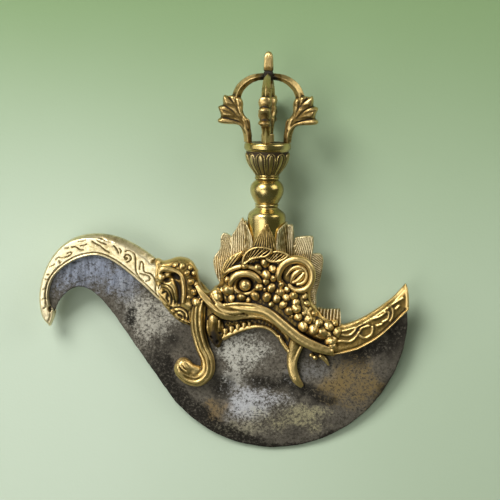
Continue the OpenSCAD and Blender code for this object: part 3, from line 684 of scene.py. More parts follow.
# Makara head. Two brass castings meet on the middle plane and clamp the blade: snout and nostril,
# eye sockets, cheeks, rolled lips and gums. The rear half mirrors the front one.
def closed(points, steps):
    """A smooth closed line through points."""
    p = list(points)
    return curve(p[-2:] + p + p[:2], steps)[2 * steps:(len(p) + 2) * steps]


def rise(inside, width):
    """0 on a line and 1 from width inside it, with a smooth shoulder."""
    t = np.clip(-inside / width, 0, 1)
    return t * t * (3 - 2 * t)


def path(points, height, steps=5):
    """Rows of x, z and radius, or x, z, radius and height, as a smooth strand path."""
    rows = [(p[0], p[3] if len(p) > 3 else height, p[1], p[2]) for p in points]
    return curve(rows, steps)


def lay(wax, strands):
    """Lays strands one after the other, each with its rows, height, fillet and any grooves."""
    for rows, height, *more in strands:
        wax.strand(path(rows, height), *more)


drum_radius = 8.2

# Outlines of the low plate, the raised cheek and snout and the hollow of the mouth, as x and z.
plate_line = closed([
    [-48.1, -8.4], [-44.8, -9.2], [-41.7, -8.5], [-38.2, -7.4], [-34.3, -7.9], [-31.7, -9.7],
    [-29.9, -12.9], [-28.8, -17.7], [-27, -21.4], [-24.6, -22.2], [-22.4, -20.6], [-20.3, -18.6],
    [-18.8, -14.5], [-16, -8.5], [-12.5, -5.6], [-8, -4.8], [0, -4.6], [8, -4.8],
    [13.8, -5.5], [18.9, -7.1], [21.6, -11.8], [21.2, -16.9], [20, -21], [20.5, -25],
    [23.5, -29.5], [28, -32.6], [33.7, -35.1], [33.6, -41], [33, -47.8], [27, -48.8], [21.6, -47.5],
    [17.5, -45], [9.8, -47.7], [7.2, -43.4], [3.2, -39.1], [-1.1, -37.5], [-6.3, -38.1],
    [-10.6, -39.7], [-14.1, -41.4], [-18.4, -43.3], [-20, -39], [-24, -37.4], [-31.9, -37.2],
    [-38.1, -34.7], [-44.7, -27.8], [-51.3, -21.7], [-51, -14]], 4)
cheek_line = closed([
    [-17.5, -15], [-15, -9.5], [-11.5, -6.5], [-4, -4.8], [6, -4.8], [14, -6.5], [19, -11], [18.5, -19],
    [19, -25], [23, -31], [28, -35], [31, -40], [24, -42.5], [12, -37], [5, -32], [-3, -29], [-10, -28.5],
    [-16.5, -28], [-19.5, -24], [-19, -19]], 4)
snout_line = closed([
    [-46, -13], [-42, -10], [-37.5, -8.4], [-33, -9.4], [-30.4, -14], [-29.2, -19], [-27.6, -23],
    [-29, -30], [-34, -31], [-40, -26], [-45.5, -20]], 4)
mouth_line = closed([
    [-21, -33.5], [-15, -33.2], [-9, -32.8], [-2, -32.4], [3.5, -34.6], [8, -38.6], [10.6, -42.5],
    [9.2, -44], [6, -40.6], [1.5, -37.4], [-4, -36.2], [-11, -37.6], [-17.5, -40.6], [-20.5, -38]], 4)

# How high the face stands over the middle plane, with a trough from the nostril down the snout.
head = Wax((-53, -0.8, -67), (37, 11.8, 12.6), 0.27)
x, z = head.plane()
height = head.axes[1][None, :, None]
cheek, snout, mouth = (outline_gap(head, line) for line in (cheek_line, snout_line, mouth_line))
trough = mark(line_gap(head, curve([[-38.8, -17], [-37.4, -19.6], [-36.9, -23], [-37.1, -26.6]], 5)), 1.1)
top = 3.75 + 2.3 * rise(cheek, 2.6) + 2.1 * rise(snout, 3.6) - 1.5 * trough
top = top - 1.9 * rise(mouth, 1.4) * np.clip(1.15 - (x + 18) / 40, 0.35, 1)
# Painted shade in the mouth's hollow under the upper lip, deepest toward its left end; the trough, the cut
# lines and the pits below take dirt.
head_dirt_and_shade = 0.25 * rise(mouth, 1.6) * np.clip(0.9 - (x + 16) / 20, 0, 1)
head_dirt_and_shade = head_dirt_and_shade + 0.08 * rise(mouth, 0.8) + 0.22 * trough
snout_cuts = [
    [[-44.8, -18.6], [-41.8, -19.2], [-39.9, -21], [-39.2, -23.8], [-38.8, -27.2]],
    [[-43.8, -20.2], [-41.9, -21], [-40.8, -22.6], [-40.3, -24.8], [-40.6, -27.6]],
    [[-44.2, -22.8], [-42.7, -22.2], [-42, -23.6], [-42.5, -25], [-41.8, -26.6]],
    [[-47, -17], [-47.1, -19], [-46.5, -21.6]], [[-45.4, -19.6], [-45.9, -21.6]],
    [[-39.4, -29.4], [-36.6, -28.9], [-34.2, -30], [-32.9, -32], [-33.2, -34.4]],
    [[-38.4, -31], [-36.4, -30.6], [-34.8, -31.8], [-34.6, -33.8]],
    [[-37.2, -32.4], [-36.2, -32.6], [-35.9, -34]], [[-42.4, -28.2], [-40.4, -29.6]]]
for line in snout_cuts:
    cut_line = mark(line_gap(head, curve(line, 5)), 0.36)
    top = top - 0.42 * cut_line
    head_dirt_and_shade = head_dirt_and_shade + 0.28 * cut_line
for px, pz in [(-40.9, -29.9), (-39.2, -31.8), (-36.9, -34.2), (-35, -35.2), (-33, -35.8)]:
    pit = 0.5 * mark(np.hypot(x - px, z - pz), 0.5)
    top = top - pit
    head_dirt_and_shade = head_dirt_and_shade + pit
border = line_gap(head, [[-52, -21], [-44.7, -27.2], [-38.1, -34], [-31.9, -36.6], [-27, -37]])
top = top + 0.5 * mark(border - 0.5, 0.6) - 0.35 * mark(border - 1.7, 0.5)
rough = (0.16 * np.sin(3.1 * x + 1.3 * z) * np.sin(2.3 * z - 0.9 * x)
         + 0.1 * np.sin(5.2 * x) * np.sin(4.7 * z))
top = top + rough * (rise(mouth, 0.8) + 0.5 * rise(cheek, 1))
rim_gap = outline_gap(head, plate_line)
middle = np.clip((x + 48.9 - 0.02 * (z + 15) ** 2) / 3, 0, 1) * np.clip((31 - x) / 2.5, 0, 1)
rim = (1 - rise(rim_gap, 1.8)) * middle
head.plate(rim_gap, np.where(middle < 1, np.minimum(top, 1.2 + 5.5 * middle), top) - 1.5 * rim, -1, 0.8)

# Strands of the lips, the folds of the mouth's corner and the snout's rim, in the order in which
# they are laid: rows of x, z, radius and height, then a height for all, a fillet and any grooves.
head_strands = [
    ([[-17, -27, 1], [-12.5, -27.6, 1.7], [-8, -28.1, 2], [-2, -28.6, 2.2], [2.6, -30.4, 2.3],
      [8.6, -35.2, 2.4], [15.2, -40.4, 2.4, 5.8], [22, -44, 2.2, 5.7], [28.5, -45.9, 1.7, 5.7]], 6, 0.5),
    ([[-16.5, -26.6, 0.4], [-12, -26, 0.6], [-7, -26.1, 0.65], [-2.4, -26.7, 0.65], [3, -29, 0.6],
      [8.6, -33.4, 0.6], [15, -38.4, 0.6, 7.1], [21.6, -42, 0.6, 6.9], [28, -44.2, 0.4, 6.9]], 7.3, 0.3),
    ([[-8, -30.3, 0.4], [-2, -30.6, 0.5], [3.2, -33, 0.5], [9, -37.8, 0.5], [15.6, -42.6, 0.5],
      [22, -45.9, 0.4]], 6.2, 0.3),
    ([[-29, -19.5, 1, 5.2], [-27, -22.6, 1.5], [-23.7, -26.4, 1.9], [-19, -30.2, 2.1],
      [-13.5, -31.8, 1.9], [-8.2, -31.6, 0.9]], 5.6, 0.4, 4, 0.4, 0.25),
    ([[-20.6, -27, 0.7], [-17.6, -29.2, 1], [-13.4, -30, 1], [-9.6, -29.6, 0.6]], 6.8, 0.3),
    ([[-22.6, -22.4, 0.8], [-20.4, -25.8, 1.1], [-16.8, -28.2, 1.1], [-13.4, -28.6, 0.7]], 6.2, 0.3),
    ([[-45.6, -13.8, 1], [-44.2, -12, 1.3], [-41.2, -12.1, 1.1], [-38.2, -13, 1], [-36, -15, 1],
      [-35.1, -18.2, 1], [-34.8, -22, 1], [-35.2, -26.4, 0.7]], 5.9, 0.4)]
lay(head, head_strands)
head.ball(-44.7, 5.4, -15.9, 2.1, 0.4)
head.ball(29.2, 4.6, -43.8, 2.1, 0.4)
head.ball(-38.7, 6.6, -15.3, 2.2, 0.4, carve=True, size=(1.15, 1.4, 0.85), turn=-0.5)
head.ball(-41.6, 6.2, -16.6, 1.8, 0.5, carve=True, size=(1.5, 1, 0.75), turn=0.35)

# The eye's socket with its lids and brow, a knob over it and the flame-shaped fold beside it.
eye_x, eye_z = -8.3, -17.9
eye_radius = 2.65
head.ball(eye_x, 8.2, eye_z, 4.1, 0.4, carve=True, size=(1.15, 1, 0.86), turn=0.1)
lay(head, [
    ([[-14.8, -19.2, 0.7, 6], [-14.2, -16, 1.2], [-12, -13.6, 1.45], [-8.6, -12.7, 1.5],
      [-5.2, -13.3, 1.4], [-2.7, -15.2, 1.1], [-1.4, -17.6, 0.6, 6.2]], 7.6, 0.25),
    ([[-18.6, -15.4, 0.6, 5.4], [-16.2, -12.4, 1], [-12.6, -10.6, 1.15], [-8.6, -9.8, 1.2],
      [-4.6, -10.6, 1.1], [-2, -12.6, 0.7]], 6.6, 0.3),
    ([[-13.2, -17.6, 0.5, 5.6], [-12.4, -20.2, 0.75], [-9.6, -21.8, 0.85], [-6.2, -21.4, 0.85],
      [-3.8, -19.4, 0.7], [-3.2, -17.2, 0.4]], 6.1, 0.2)])
head.ball(-8.6, 7.4, -9.4, 1.5, 0.4)
flame_line = closed([
    [-19.2, -13.6], [-18.2, -9.8], [-15.6, -6.4], [-12.6, -4.6], [-9.6, -3.6], [-10.6, -6.6],
    [-12.4, -9.4], [-14.6, -11.4], [-16.6, -14.6]], 4)
flame = outline_gap(head, flame_line)
fan_x, fan_z = x + 20.5, z + 17.5
flame_hatch = 0.5 - 0.5 * np.cos(62 * np.arctan2(fan_z, fan_x) + 0.11 * np.hypot(fan_x, fan_z))
head.plate(flame, 6 + 0.9 * rise(flame, 1.5) - 0.5 * flame_hatch * rise(flame, 0.8), 3, 0.5)
head_dirt_and_shade = head_dirt_and_shade + 0.35 * flame_hatch * rise(flame, 0.8)

# The gum and the lumps at the corner of the mouth.
lay(head, [([[-18, -41.8, 0.5], [-14.2, -40, 0.6], [-10.6, -38.4, 0.65], [-6.3, -37, 0.7],
             [-1.4, -36.4, 0.7], [3.2, -38, 0.7], [7.2, -42.2, 0.7], [9.6, -46.2, 0.6]], 3.3, 0.4)])
head.ball(20.3, 3, -48.3, 1, 0.2)
head.ball(22, 3, -49.4, 1.1, 0.2)
lay(head, [([[24.6, -48.6, 1.2], [26.4, -50.2, 0.9], [27.8, -52.4, 0.5]], 2.8, 0.3),
           ([[6.6, -40.4, 0.7], [8.2, -43.4, 0.9], [10.6, -46.6, 0.9]], 4.2, 0.3)])

# Ears. A rolled rim round a hollow, with an inner roll and a pointed fold, one on each face.
ear = head.empty_copy()
ear_rim = [[6.6, -16.6, 0.9, 5.6], [5.9, -13.2, 1.35], [7.3, -9.4, 1.6], [10.2, -7, 1.7],
           [14.2, -6.3, 1.7], [18.1, -7.8, 1.6], [20.2, -11.2, 1.5], [20.2, -15.2, 1.4],
           [18.2, -18.5, 1.3], [15, -19.7, 1.2], [12.2, -18.9, 0.9], [10.6, -17.4, 0.7]]
ear.strand(path(ear_rim, 6.9, 6), 0.3)
lay(ear, [
    ([[9.4, -13.4, 0.5], [11.2, -10.9, 0.8], [14.2, -9.6, 0.9], [17.2, -10.6, 0.95],
      [18.1, -13.4, 0.9], [16.8, -16.2, 0.8], [14, -17.3, 0.6]], 5.9, 0.3),
    ([[11.2, -16.4, 0.4], [12.2, -13.6, 1.1], [14.2, -11.8, 1.15], [16.6, -11, 0.4]], 5.9, 0.2),
    ([[11.6, -16.8, 0.4], [14.2, -15.4, 1.1], [16, -13.6, 1.1], [17, -11.4, 0.4]], 5.7, 0.2)])
ear_hollow = np.hypot((x - 13) / 1.1, z + 12.8) - 5.6

# Trunk. It hangs from the snout over the blade and curls up at its end, grooved along its length.
trunk = head.empty_copy()
trunk_line = [[-27, -24.4, 2, 4.6], [-28.2, -27.5, 3, 4.4], [-28.9, -33.3, 3.35, 3.5],
              [-28.6, -39.5, 3.2, 3.1], [-27, -46, 3.1], [-24.7, -51.5, 3.05], [-24.8, -57, 3.1],
              [-28.4, -60.7, 3], [-33, -60, 3], [-36, -56.8, 3], [-35.4, -53.8, 2.5]]
trunk.strand(path(trunk_line, 2.65, 6), 0.5, grooves=8, depth=0.5, twist=0.11)
trunk.ball(-34.9, 3, -55.2, 3.9, 1.6, size=(1.05, 0.82, 1))
trunk.ball(-30.6, 2.6, -57.2, 3.2, 1.2, size=(1.3, 0.8, 1))
for crease in ([[-37.8, -53, 0.3], [-35.6, -56.2, 0.5], [-32.4, -58.2, 0.5], [-28.4, -58.2, 0.3]],
               [[-34.4, -52.2, 0.3], [-32.2, -54.6, 0.55], [-29.4, -56, 0.55], [-27, -55.4, 0.3]],
               [[-36.2, -52.6, 0.2], [-34, -55.6, 0.4], [-31, -57.2, 0.3]]):
    trunk.strand(path(crease, 6), 0.3, carve=True)
lay(trunk, [([[-31.6, -26, 1.1], [-32, -30, 1.2], [-31.6, -35, 0.9], [-31, -41, 0.6]], 3.6, 0.5)])

# Tusk and fang. A short tusk stands behind the trunk, and a long fang at the corner of the mouth.
tusk = head.empty_copy()
tusk_line = [[-22.2, -33.6, 2.4, 3.4], [-22.2, -38.2, 2.7], [-21.2, -42.4, 2.2], [-20.2, -45.4, 1]]
tusk.strand(path(tusk_line, 2.8, 6), 0.3)
for x_side in (-24.4, -19.6):
    lay(tusk, [([[x_side, -34.4, 0.7], [x_side - 0.1, -38.4, 0.7], [x_side * 0.5 - 10.5, -42.6, 0.6],
                 [-20.6, -45, 0.4]], 4, 0.25)])
lay(tusk, [([[-19.4, -35, 1], [-18.9, -38.4, 1.5], [-19.2, -41.8, 1.5], [-20, -44.6, 0.8]], 2.5, 0.5)])
for rough_x, rough_z in ((-22.6, -41.4), (-20.2, -43.6), (-19, -39.6), (-21.8, -38.2), (-18.4, -42.4)):
    tusk.ball(rough_x, 4.3, rough_z, 0.8, 0.3, carve=True, size=(1.2, 1, 0.8), turn=rough_x)
# Painted shadow of the trunk on the tusk: dark down its middle and toward its lower end.
tusk_painted_shadow = 0.4 * mark(line_gap(tusk, [[-22, -36], [-22, -40], [-20.8, -43.6]]), 1.6)
tusk_painted_shadow = tusk_painted_shadow + 0.4 * np.clip((-35.5 - z) / 5, 0, 1)
fang = head.empty_copy()
fang_line = [[14, -40.6, 2.5, 4.4], [12.8, -45, 2.6, 3.4], [12, -50, 2.3], [12.4, -55, 2.2],
             [14, -59, 2], [16, -61.5, 1.3]]
fang.strand(path(fang_line, 2.9, 6), 0.4, grooves=3, depth=0.35)
lay(fang, [([[16.4, -43.6, 0.8, 4.6], [14.6, -47.4, 1, 4.2], [13.4, -52, 0.9], [14, -57, 0.8]], 3.8, 0.3)])

# Crest. Two ribbed combs over the brow, which stand in front of the ferrule's foot on each face.
# The ribs of each comb fan out from a point below it.
crest = head.empty_copy()
crest_marks = np.zeros((x.size, z.size))
crest_combs = [
    ([[2.2, -7.6], [0.4, -6.4], [0.6, -4.4], [3.2, -2.9], [6.2, -2.5], [8.8, -3.3], [10.4, -4.7],
      [8.4, -6.6], [5.6, -7.8]], (-4, -14), 78, 8.4),
    ([[-8.9, -9.2], [-9.7, -7.2], [-8.7, -4.2], [-6.2, -1.9], [-2.6, -0.8], [1.4, -1.1], [3.4, -2.4],
      [1.2, -5.2], [-2, -6], [-5, -6.6], [-7, -8]], (-9.8, -11.3), 57, 9.1)]
for comb_line, centre, rib_count, comb_top in crest_combs:
    gap = outline_gap(crest, closed(comb_line, 4))
    ribs = 0.5 + 0.5 * np.cos(rib_count * np.arctan2(z - centre[1], x - centre[0]))
    inner = rise(gap + 0.7, 0.5)
    crest.plate(gap, comb_top + 0.25 * mark(gap + 0.5, 0.4) - (1 - ribs) ** 1.3 * inner, 7, 0.5)
    crest_marks = np.where(gap < 0, 0.5 * (1 - ribs) * inner, crest_marks)

# Leaf. A flame-shaped leaf bent round the ferrule over the crest, on each face.
leaf = head.empty_copy()
leaf_line = closed([[-5, -2.2], [-4.8, 1.2], [-3.6, 3.4], [-1.4, 6.2], [0.9, 8.9], [2.4, 6.2], [3.8, 3.4],
                    [4.7, 1], [4.8, -2.2]], 4)
leaf_gap = outline_gap(leaf, leaf_line)
veins = 0.5 - 0.5 * np.cos(np.arctan2(x - 0.9, 13 - z) * 82)
shell = np.sqrt(x[:, None] ** 2 + height ** 2) - drum_radius
vein_depth = 0.35 * veins * rise(leaf_gap, 0.5)
face = shell - 1 - 0.15 * rise(leaf_gap, 1)[:, None, :] + vein_depth[:, None, :]
slab = np.maximum(np.maximum(face, 0.08 - shell), 3 - height)
leaf.far = (-merge(-slab, -np.maximum(leaf_gap, -3)[:, None, :], 0.4)).astype(np.float32)
leaf_marks = 0.45 * veins * rise(leaf_gap, 0.5)

# The head's half leaves room for the blade, the handle's foot, the eye and the roots of mane and
# comb. Its fillets run up to ear, trunk, tusk and fang, which are cast pieces of their own.
middle_gap = 0.05
casting_gap = 0.02
root_half_thickness = 2.25
handle_foot = np.maximum(shell - 0.05, seat_z - z[:, None])
slot = blade_room(head)
ear_bowl = np.maximum(ear_hollow[:, None, :], 4.5 - height).astype(np.float32)
head.far = -merge(-head.far, ear_bowl, 0.6)
for part in (trunk, tusk, fang):
    part.cut(slot)
    part.cut(height, middle_gap)
for part in (ear, trunk, tusk, fang):
    head.far = merge(head.far, part.far, 0.7)
for part in (ear, trunk, tusk, fang, crest, leaf):
    head.cut(part.far, casting_gap)
eye = head.empty_copy()
eye.ball(eye_x, 6.4, eye_z, eye_radius, 0)
eye.ball(eye_x, 9.3, eye_z, 1, 0.3, carve=True)
eye.ball(eye_x, 8.5, eye_z, 0.7, 0.2)
head.cut(eye.far, casting_gap)
head.cut(slot)
head.cut(handle_foot)
for mane_room in (
        [[-17, -20], [-21.6, -14.9], [-23, -9.7], [-20.9, -4.4], [-19.8, 3.3], [-14.8, 2.8], [-10.1, 10.4],
         [-6.2, 0.6], [-6.2, -8], [-12, -17]],
        [[6.2, -8], [6.2, 7], [11.6, 8.3], [13, 2.4], [20.6, 3.3], [20.6, -3.6], [24.9, -5], [24.9, -9.4],
         [22.4, -22.4], [22.3, -26.8], [18.5, -25.5], [13, -16]],
        [[22.4, -27], [25.3, -28.1], [32.6, -27.9], [33.2, -33.8], [32.6, -36.6], [26, -33.8]]):
    room = np.maximum(outline_gap(head, mane_room)[:, None], np.abs(height) - root_half_thickness)
    head.cut(room.astype(np.float32))
head.cut(height, middle_gap)


# Curls and teeth. Round curls of beard and brow stand close together on both faces, and small
# teeth sit along the gum. They are cast with the head.
def set_out(name, master, places, turns, sizes, scale):
    """Copies of a master piece in one mesh, set out at upright places with their turns and sizes."""
    points = bpy.data.meshes.new(name + "_places")
    points.from_pydata(on_table(places).tolist(), [], [])
    for label, values in (("turn", turns), ("size", sizes)):
        store = points.attributes.new(label, "FLOAT_VECTOR", "POINT")
        values = np.broadcast_to(values, (len(places), 3)).astype(np.float32)
        store.data.foreach_set("vector", values.ravel())
    holder = bpy.data.objects.new(name + "_holder", points)
    bpy.context.scene.collection.objects.link(holder)
    tree = bpy.data.node_groups.new(name, "GeometryNodeTree")
    inputs = {"Points": "NodeSocketGeometry", "Master": "NodeSocketObject",
              "Scale": "NodeSocketFloat", "Finish": "NodeSocketMaterial"}
    for label, kind in inputs.items():
        tree.interface.new_socket(label, in_out="INPUT", socket_type=kind)
    tree.interface.new_socket("Mesh", in_out="OUTPUT", socket_type="NodeSocketGeometry")
    nodes = Nodes(tree)
    given = {label: nodes.add("NodeGroupInput", None, None, label) for label in inputs}
    turn, size = (nodes.add("GeometryNodeInputNamedAttribute", {"data_type": "FLOAT_VECTOR"},
                            {"Name": label}) for label in ("turn", "size"))
    size = nodes.vector("SCALE", {0: size, "Scale": given["Scale"]})
    piece = nodes.add("GeometryNodeObjectInfo", None, {"Object": given["Master"]}, "Geometry")
    copies = nodes.add("GeometryNodeInstanceOnPoints", None, {
        "Points": given["Points"], "Instance": piece, "Rotation": turn, "Scale": size})
    real = nodes.add("GeometryNodeRealizeInstances", None, {"Geometry": copies})
    done = nodes.add("GeometryNodeSetMaterial", None, {"Geometry": real, "Material": given["Finish"]})
    output = tree.nodes.new("NodeGroupOutput")
    tree.links.new(done.link, output.inputs["Mesh"])
    modifier = holder.modifiers.new(name, "NODES")
    modifier.node_group = tree
    sockets = {item.name: item.identifier for item in tree.interface.items_tree if item.in_out == "INPUT"}
    modifier[sockets["Master"]] = master
    modifier[sockets["Scale"]] = float(scale)
    modifier[sockets["Finish"]] = brass
    evaluated = holder.evaluated_get(bpy.context.evaluated_depsgraph_get())
    mesh = bpy.data.meshes.new_from_object(evaluated)
    bpy.data.objects.remove(holder)
    mesh.name = name
    mesh.shade_smooth()
    return mesh


def spiral(x, z, start, end, turns, phase):
    """A flat spiral round a point, wound out from radius start to end."""
    t = np.linspace(0, 1, int(turns * 16) + 2)
    angle = phase + turns * 2 * math.pi * t
    radius = start + (end - start) * t
    return np.column_stack([x + radius * np.cos(angle), z + radius * np.sin(angle)])


def master_piece(name, wax):
    """A small piece to be set out, kept off the scene's own pieces, in metres round the origin."""
    points, faces = wax.surface(0.1)
    mesh = mesh_of(name, [(points, faces)], brass)
    spin = np.array(laid)
    mesh.vertices.foreach_set("co", (points @ spin.T / 1000).astype(np.float32).ravel())
    return bpy.data.objects.new(name, mesh)


# Each curl's x, z, radius and the height of its top, in mm.
curls = [
    [-38.7, -10.4, 1.1, 5.2], [-35.8, -11, 1.3, 5.4], [-33.7, -13.6, 1.2, 5.6], [-32.6, -11.6, 1, 4.8],
    [-30.9, -13.8, 1, 4.8], [-32.1, -17.4, 1.3, 5.6], [-30, -18.6, 1.1, 4.8], [-33, -20.6, 0.9, 5.5],
    [-30.6, -21.8, 1.4, 5.4], [-32.6, -24, 1.2, 5.6], [-29.3, -26, 1.7, 6.6],
    [-16, -15.8, 1.3, 5.8], [-15.6, -20.5, 2.1, 6], [-14.2, -24, 1.7, 6.2], [-18.2, -21, 1.2, 5.2],
    [-9.9, -23.3, 1.9, 6.5], [-4, -22.4, 1.9, 6.5], [-2.4, -18.5, 1.8, 6.7], [1.1, -22.9, 2, 6.4],
    [2.9, -18.9, 1.9, 6.5], [3.7, -14.8, 1.7, 6.3], [0.6, -13.3, 1.9, 6.6], [-2.9, -10.1, 1.8, 6.4],
    [0.2, -7.7, 2, 6.6], [3.4, -10.6, 1.8, 6.3], [-5.6, -7.2, 1.3, 6.2], [-20.6, -23.2, 2.6, 5],
    [7.2, -17.6, 1.5, 6], [7.2, -20.8, 1.6, 6.2], [9.7, -19.4, 1.4, 6.4], [5.3, -23.5, 1.9, 6.3],
    [9.4, -22.9, 1.7, 6.4], [8.1, -26, 1.8, 6.3], [12.5, -22, 1.8, 6.3], [13.4, -24.9, 1.7, 6.4],
    [13.4, -27.6, 2.1, 6.3], [10.9, -28.5, 2.1, 6.4], [14.4, -31.2, 1.9, 6.3], [12, -31, 1.2, 6],
    [16.7, -35.2, 2.1, 6.1], [18.9, -32.4, 1.8, 5.9], [16.6, -29.6, 1.5, 5], [21.1, -36.5, 2.1, 5.9],
    [23.3, -34.2, 1.8, 5.5], [21, -30.2, 1.3, 4.4], [25.1, -37.8, 2, 5.2], [27.6, -35.3, 2, 4.6],
    [31.1, -37.9, 2, 4], [28.7, -41.4, 2.2, 4.9], [29.9, -34.2, 1.4, 3.8], [3, -25.9, 1.4, 6.2],
    [-12, -21.6, 1.3, 5.6], [-6.9, -24.6, 1.3, 6.2], [5.6, -20.6, 1.3, 6.1], [0.2, -19.9, 1.3, 6.2],
    [0.6, -16.2, 1.5, 6.4], [-1.2, -13, 1.3, 6],
    [16.8, -22.4, 1.4, 5], [17.6, -25.6, 1.5, 4.9], [18.9, -28.4, 1.3, 4.5]]

# The curl is a ball with a raised eye, a spiral groove and a stalk behind it. The tooth is a peg.
curl = Wax((-1.5, -1.7, -1.5), (1.5, 1.5, 1.5), 0.17)
curl.ball(0, 0, 0, 1, 0, size=(1, 1.1, 1))
curl.ball(0.25, 0.75, 0.2, 0.42, 0.3)
curl.strand([(0, -1.5, 0, 0.8), (0, 0, 0, 0.8)], 0.1)
groove_line = [(px, math.sqrt(max(1.2 - px * px - pz * pz, 0.02)), pz, 0.1)
               for px, pz in spiral(0.2, 0.15, 0.45, 0.95, 0.9, 0.6)]
curl.strand(groove_line, 0.15, carve=True)
curl_master = master_piece("curl", curl)
curl_scale = 1.25
curl_sink = 0.8
tooth = Wax((-1.3, -1.3, -1.5), (1.3, 1.3, 1.3), 0.2)
tooth.strand([(0, -0.4, 0.3, 0.9), (0, 0.1, -0.6, 0.5)], 0.1)
tooth_master = master_piece("tooth", tooth)
tooth_height = 3.9
teeth = [[-17, -38.9, 1.25], [-14.3, -37.9, 1.35], [-11.6, -36.8, 1.3], [-8.9, -35.9, 1.2],
         [-6.5, -35.4, 0.9]]

# All that stands on the front face, with the blade and the ferrule: crevices between pieces darken.
company = head.empty_copy()
for part in (head, ear, trunk, tusk, fang, crest, leaf, eye):
    company.far = np.minimum(company.far, part.far)
for px, pz, radius, h in curls:
    company.ball(px, h - curl_sink, pz, radius * curl_scale, 0)
company.far = np.minimum(company.far, (slot + 0.1).astype(np.float32))
company.far = np.minimum(company.far, shell + 20 * (z[:, None] < seat_z))

for name, wax, marks in (
        ("head", head, head_dirt_and_shade), ("ear", ear, None), ("trunk", trunk, None),
        ("tusk", tusk, tusk_painted_shadow), ("fang", fang, None), ("crest", crest, crest_marks),
        ("leaf", leaf, leaf_marks), ("eye", eye, None)):
    cast(name + "_front_cast", wax, name + "_front", company, marks, name + "_rear")


def set_on_both_faces(name, master, rows, scale, uneven):
    """Sets a master out on the front face and mirrored on the rear one.

    The rows hold x, z, size and height. Uneven copies are each turned their own way.
    """
    rows = np.asarray(rows)
    chance = np.random.default_rng(11)
    spins = chance.uniform(0, 2 * math.pi, len(rows)) * (uneven > 0)
    sizes = rows[:, 2:3] * (1 + uneven * chance.uniform(-1, 1, (len(rows), 3)))
    for side, face in ((-1, "front"), (1, "rear")):
        places = np.column_stack([rows[:, 0], side * rows[:, 3], rows[:, 1]])
        facing = laid @ (Matrix.Identity(3) if side < 0 else Matrix.Rotation(math.pi, 3, "Z"))
        turns = [(facing @ Matrix.Rotation(spin, 3, "Y") @ laid.transposed()).to_euler() for spin in spins]
        mesh = set_out(f"{name}_{face}", master, places, turns, sizes, scale)
        upright = (np.array([v.co for v in mesh.vertices]) * 1000 - np.array(rest_shift)) @ np.array(laid)
        depth = hollows(company, upright * (1, -side, 1), 0.5, 1.4)
        mesh.attributes["hollow"].data.foreach_set("value", depth.astype(np.float32))
        fit_piece(f"{name}_{face}", mesh, "cast_brass")


low_curls = [(px, pz, radius, h - curl_sink) for px, pz, radius, h in curls]
set_on_both_faces("curls", curl_master, low_curls, curl_scale, 0.14)
set_on_both_faces("teeth", tooth_master, [(*row, tooth_height) for row in teeth], 1, 0)


# Mane. Flame-shaped leaves in the blade's plane, hatched along their length and stepped one behind
# the other: two at the left of the ferrule, three at its right, and a fold that hugs it on each side.
def flame_leaf(wax, marks, line, root, tip, top):
    """Lays one leaf; its hatching draws together toward the tip."""
    x, z = wax.plane()
    gap = outline_gap(wax, closed(line, 3))
    along = np.subtract(tip, root)
    length = np.hypot(*along)
    share = np.clip(((x - root[0]) * along[0] + (z - root[1]) * along[1]) / length ** 2, 0, 1)
    across = ((x - root[0]) * along[1] - (z - root[1]) * along[0]) / length
    hatch = (0.5 - 0.5 * np.cos(6.6 * across / (1.15 - 0.5 * share) + 0.8 * np.sin(4 * share))) ** 1.5
    hatch = hatch * rise(gap, 0.7)
    wax.plate(gap, top - 0.42 * hatch, None, 0.6)
    return np.where(gap < 0, 0.46 * hatch + 0.25 * rise(gap - 0.5, 0.5) - 0.25 * rise(gap, 0.7), marks)


def cast_mane(name, low, high, leaves, wrap):
    """Casts one side's leaves and the fold between them and the ferrule."""
    wax = Wax(low, high, 0.25)
    marks = np.zeros((len(wax.axes[0]), len(wax.axes[2])))
    for leaf_shape in leaves:
        marks = flame_leaf(wax, marks, *leaf_shape)
    x, z = wax.plane()
    drum = (np.sqrt(x[:, None] ** 2 + wax.axes[1][None, :, None] ** 2) - drum_radius).astype(np.float32)
    fold = outline_gap(wax, closed(wrap, 3))
    folds = (0.5 - 0.5 * np.cos(6.6 * (np.abs(x) + 0.12 * z) / 0.95)) * rise(fold, 0.6)
    skin = np.maximum(drum - 1.15 + 0.35 * folds[:, None, :], -0.1 - drum)
    wax.far = merge(wax.far, -merge(-skin, -np.maximum(fold, -3)[:, None, :], 0.4), 0.3)
    marks = np.maximum(marks, 0.4 * folds)
    wax.cut(drum - fit + np.where(z < seat_z, 9, 0)[:, None])
    wax.far = wax.far.astype(np.float32)
    cast(name + "_cast", wax, name, company, marks, finish=worn_brass)


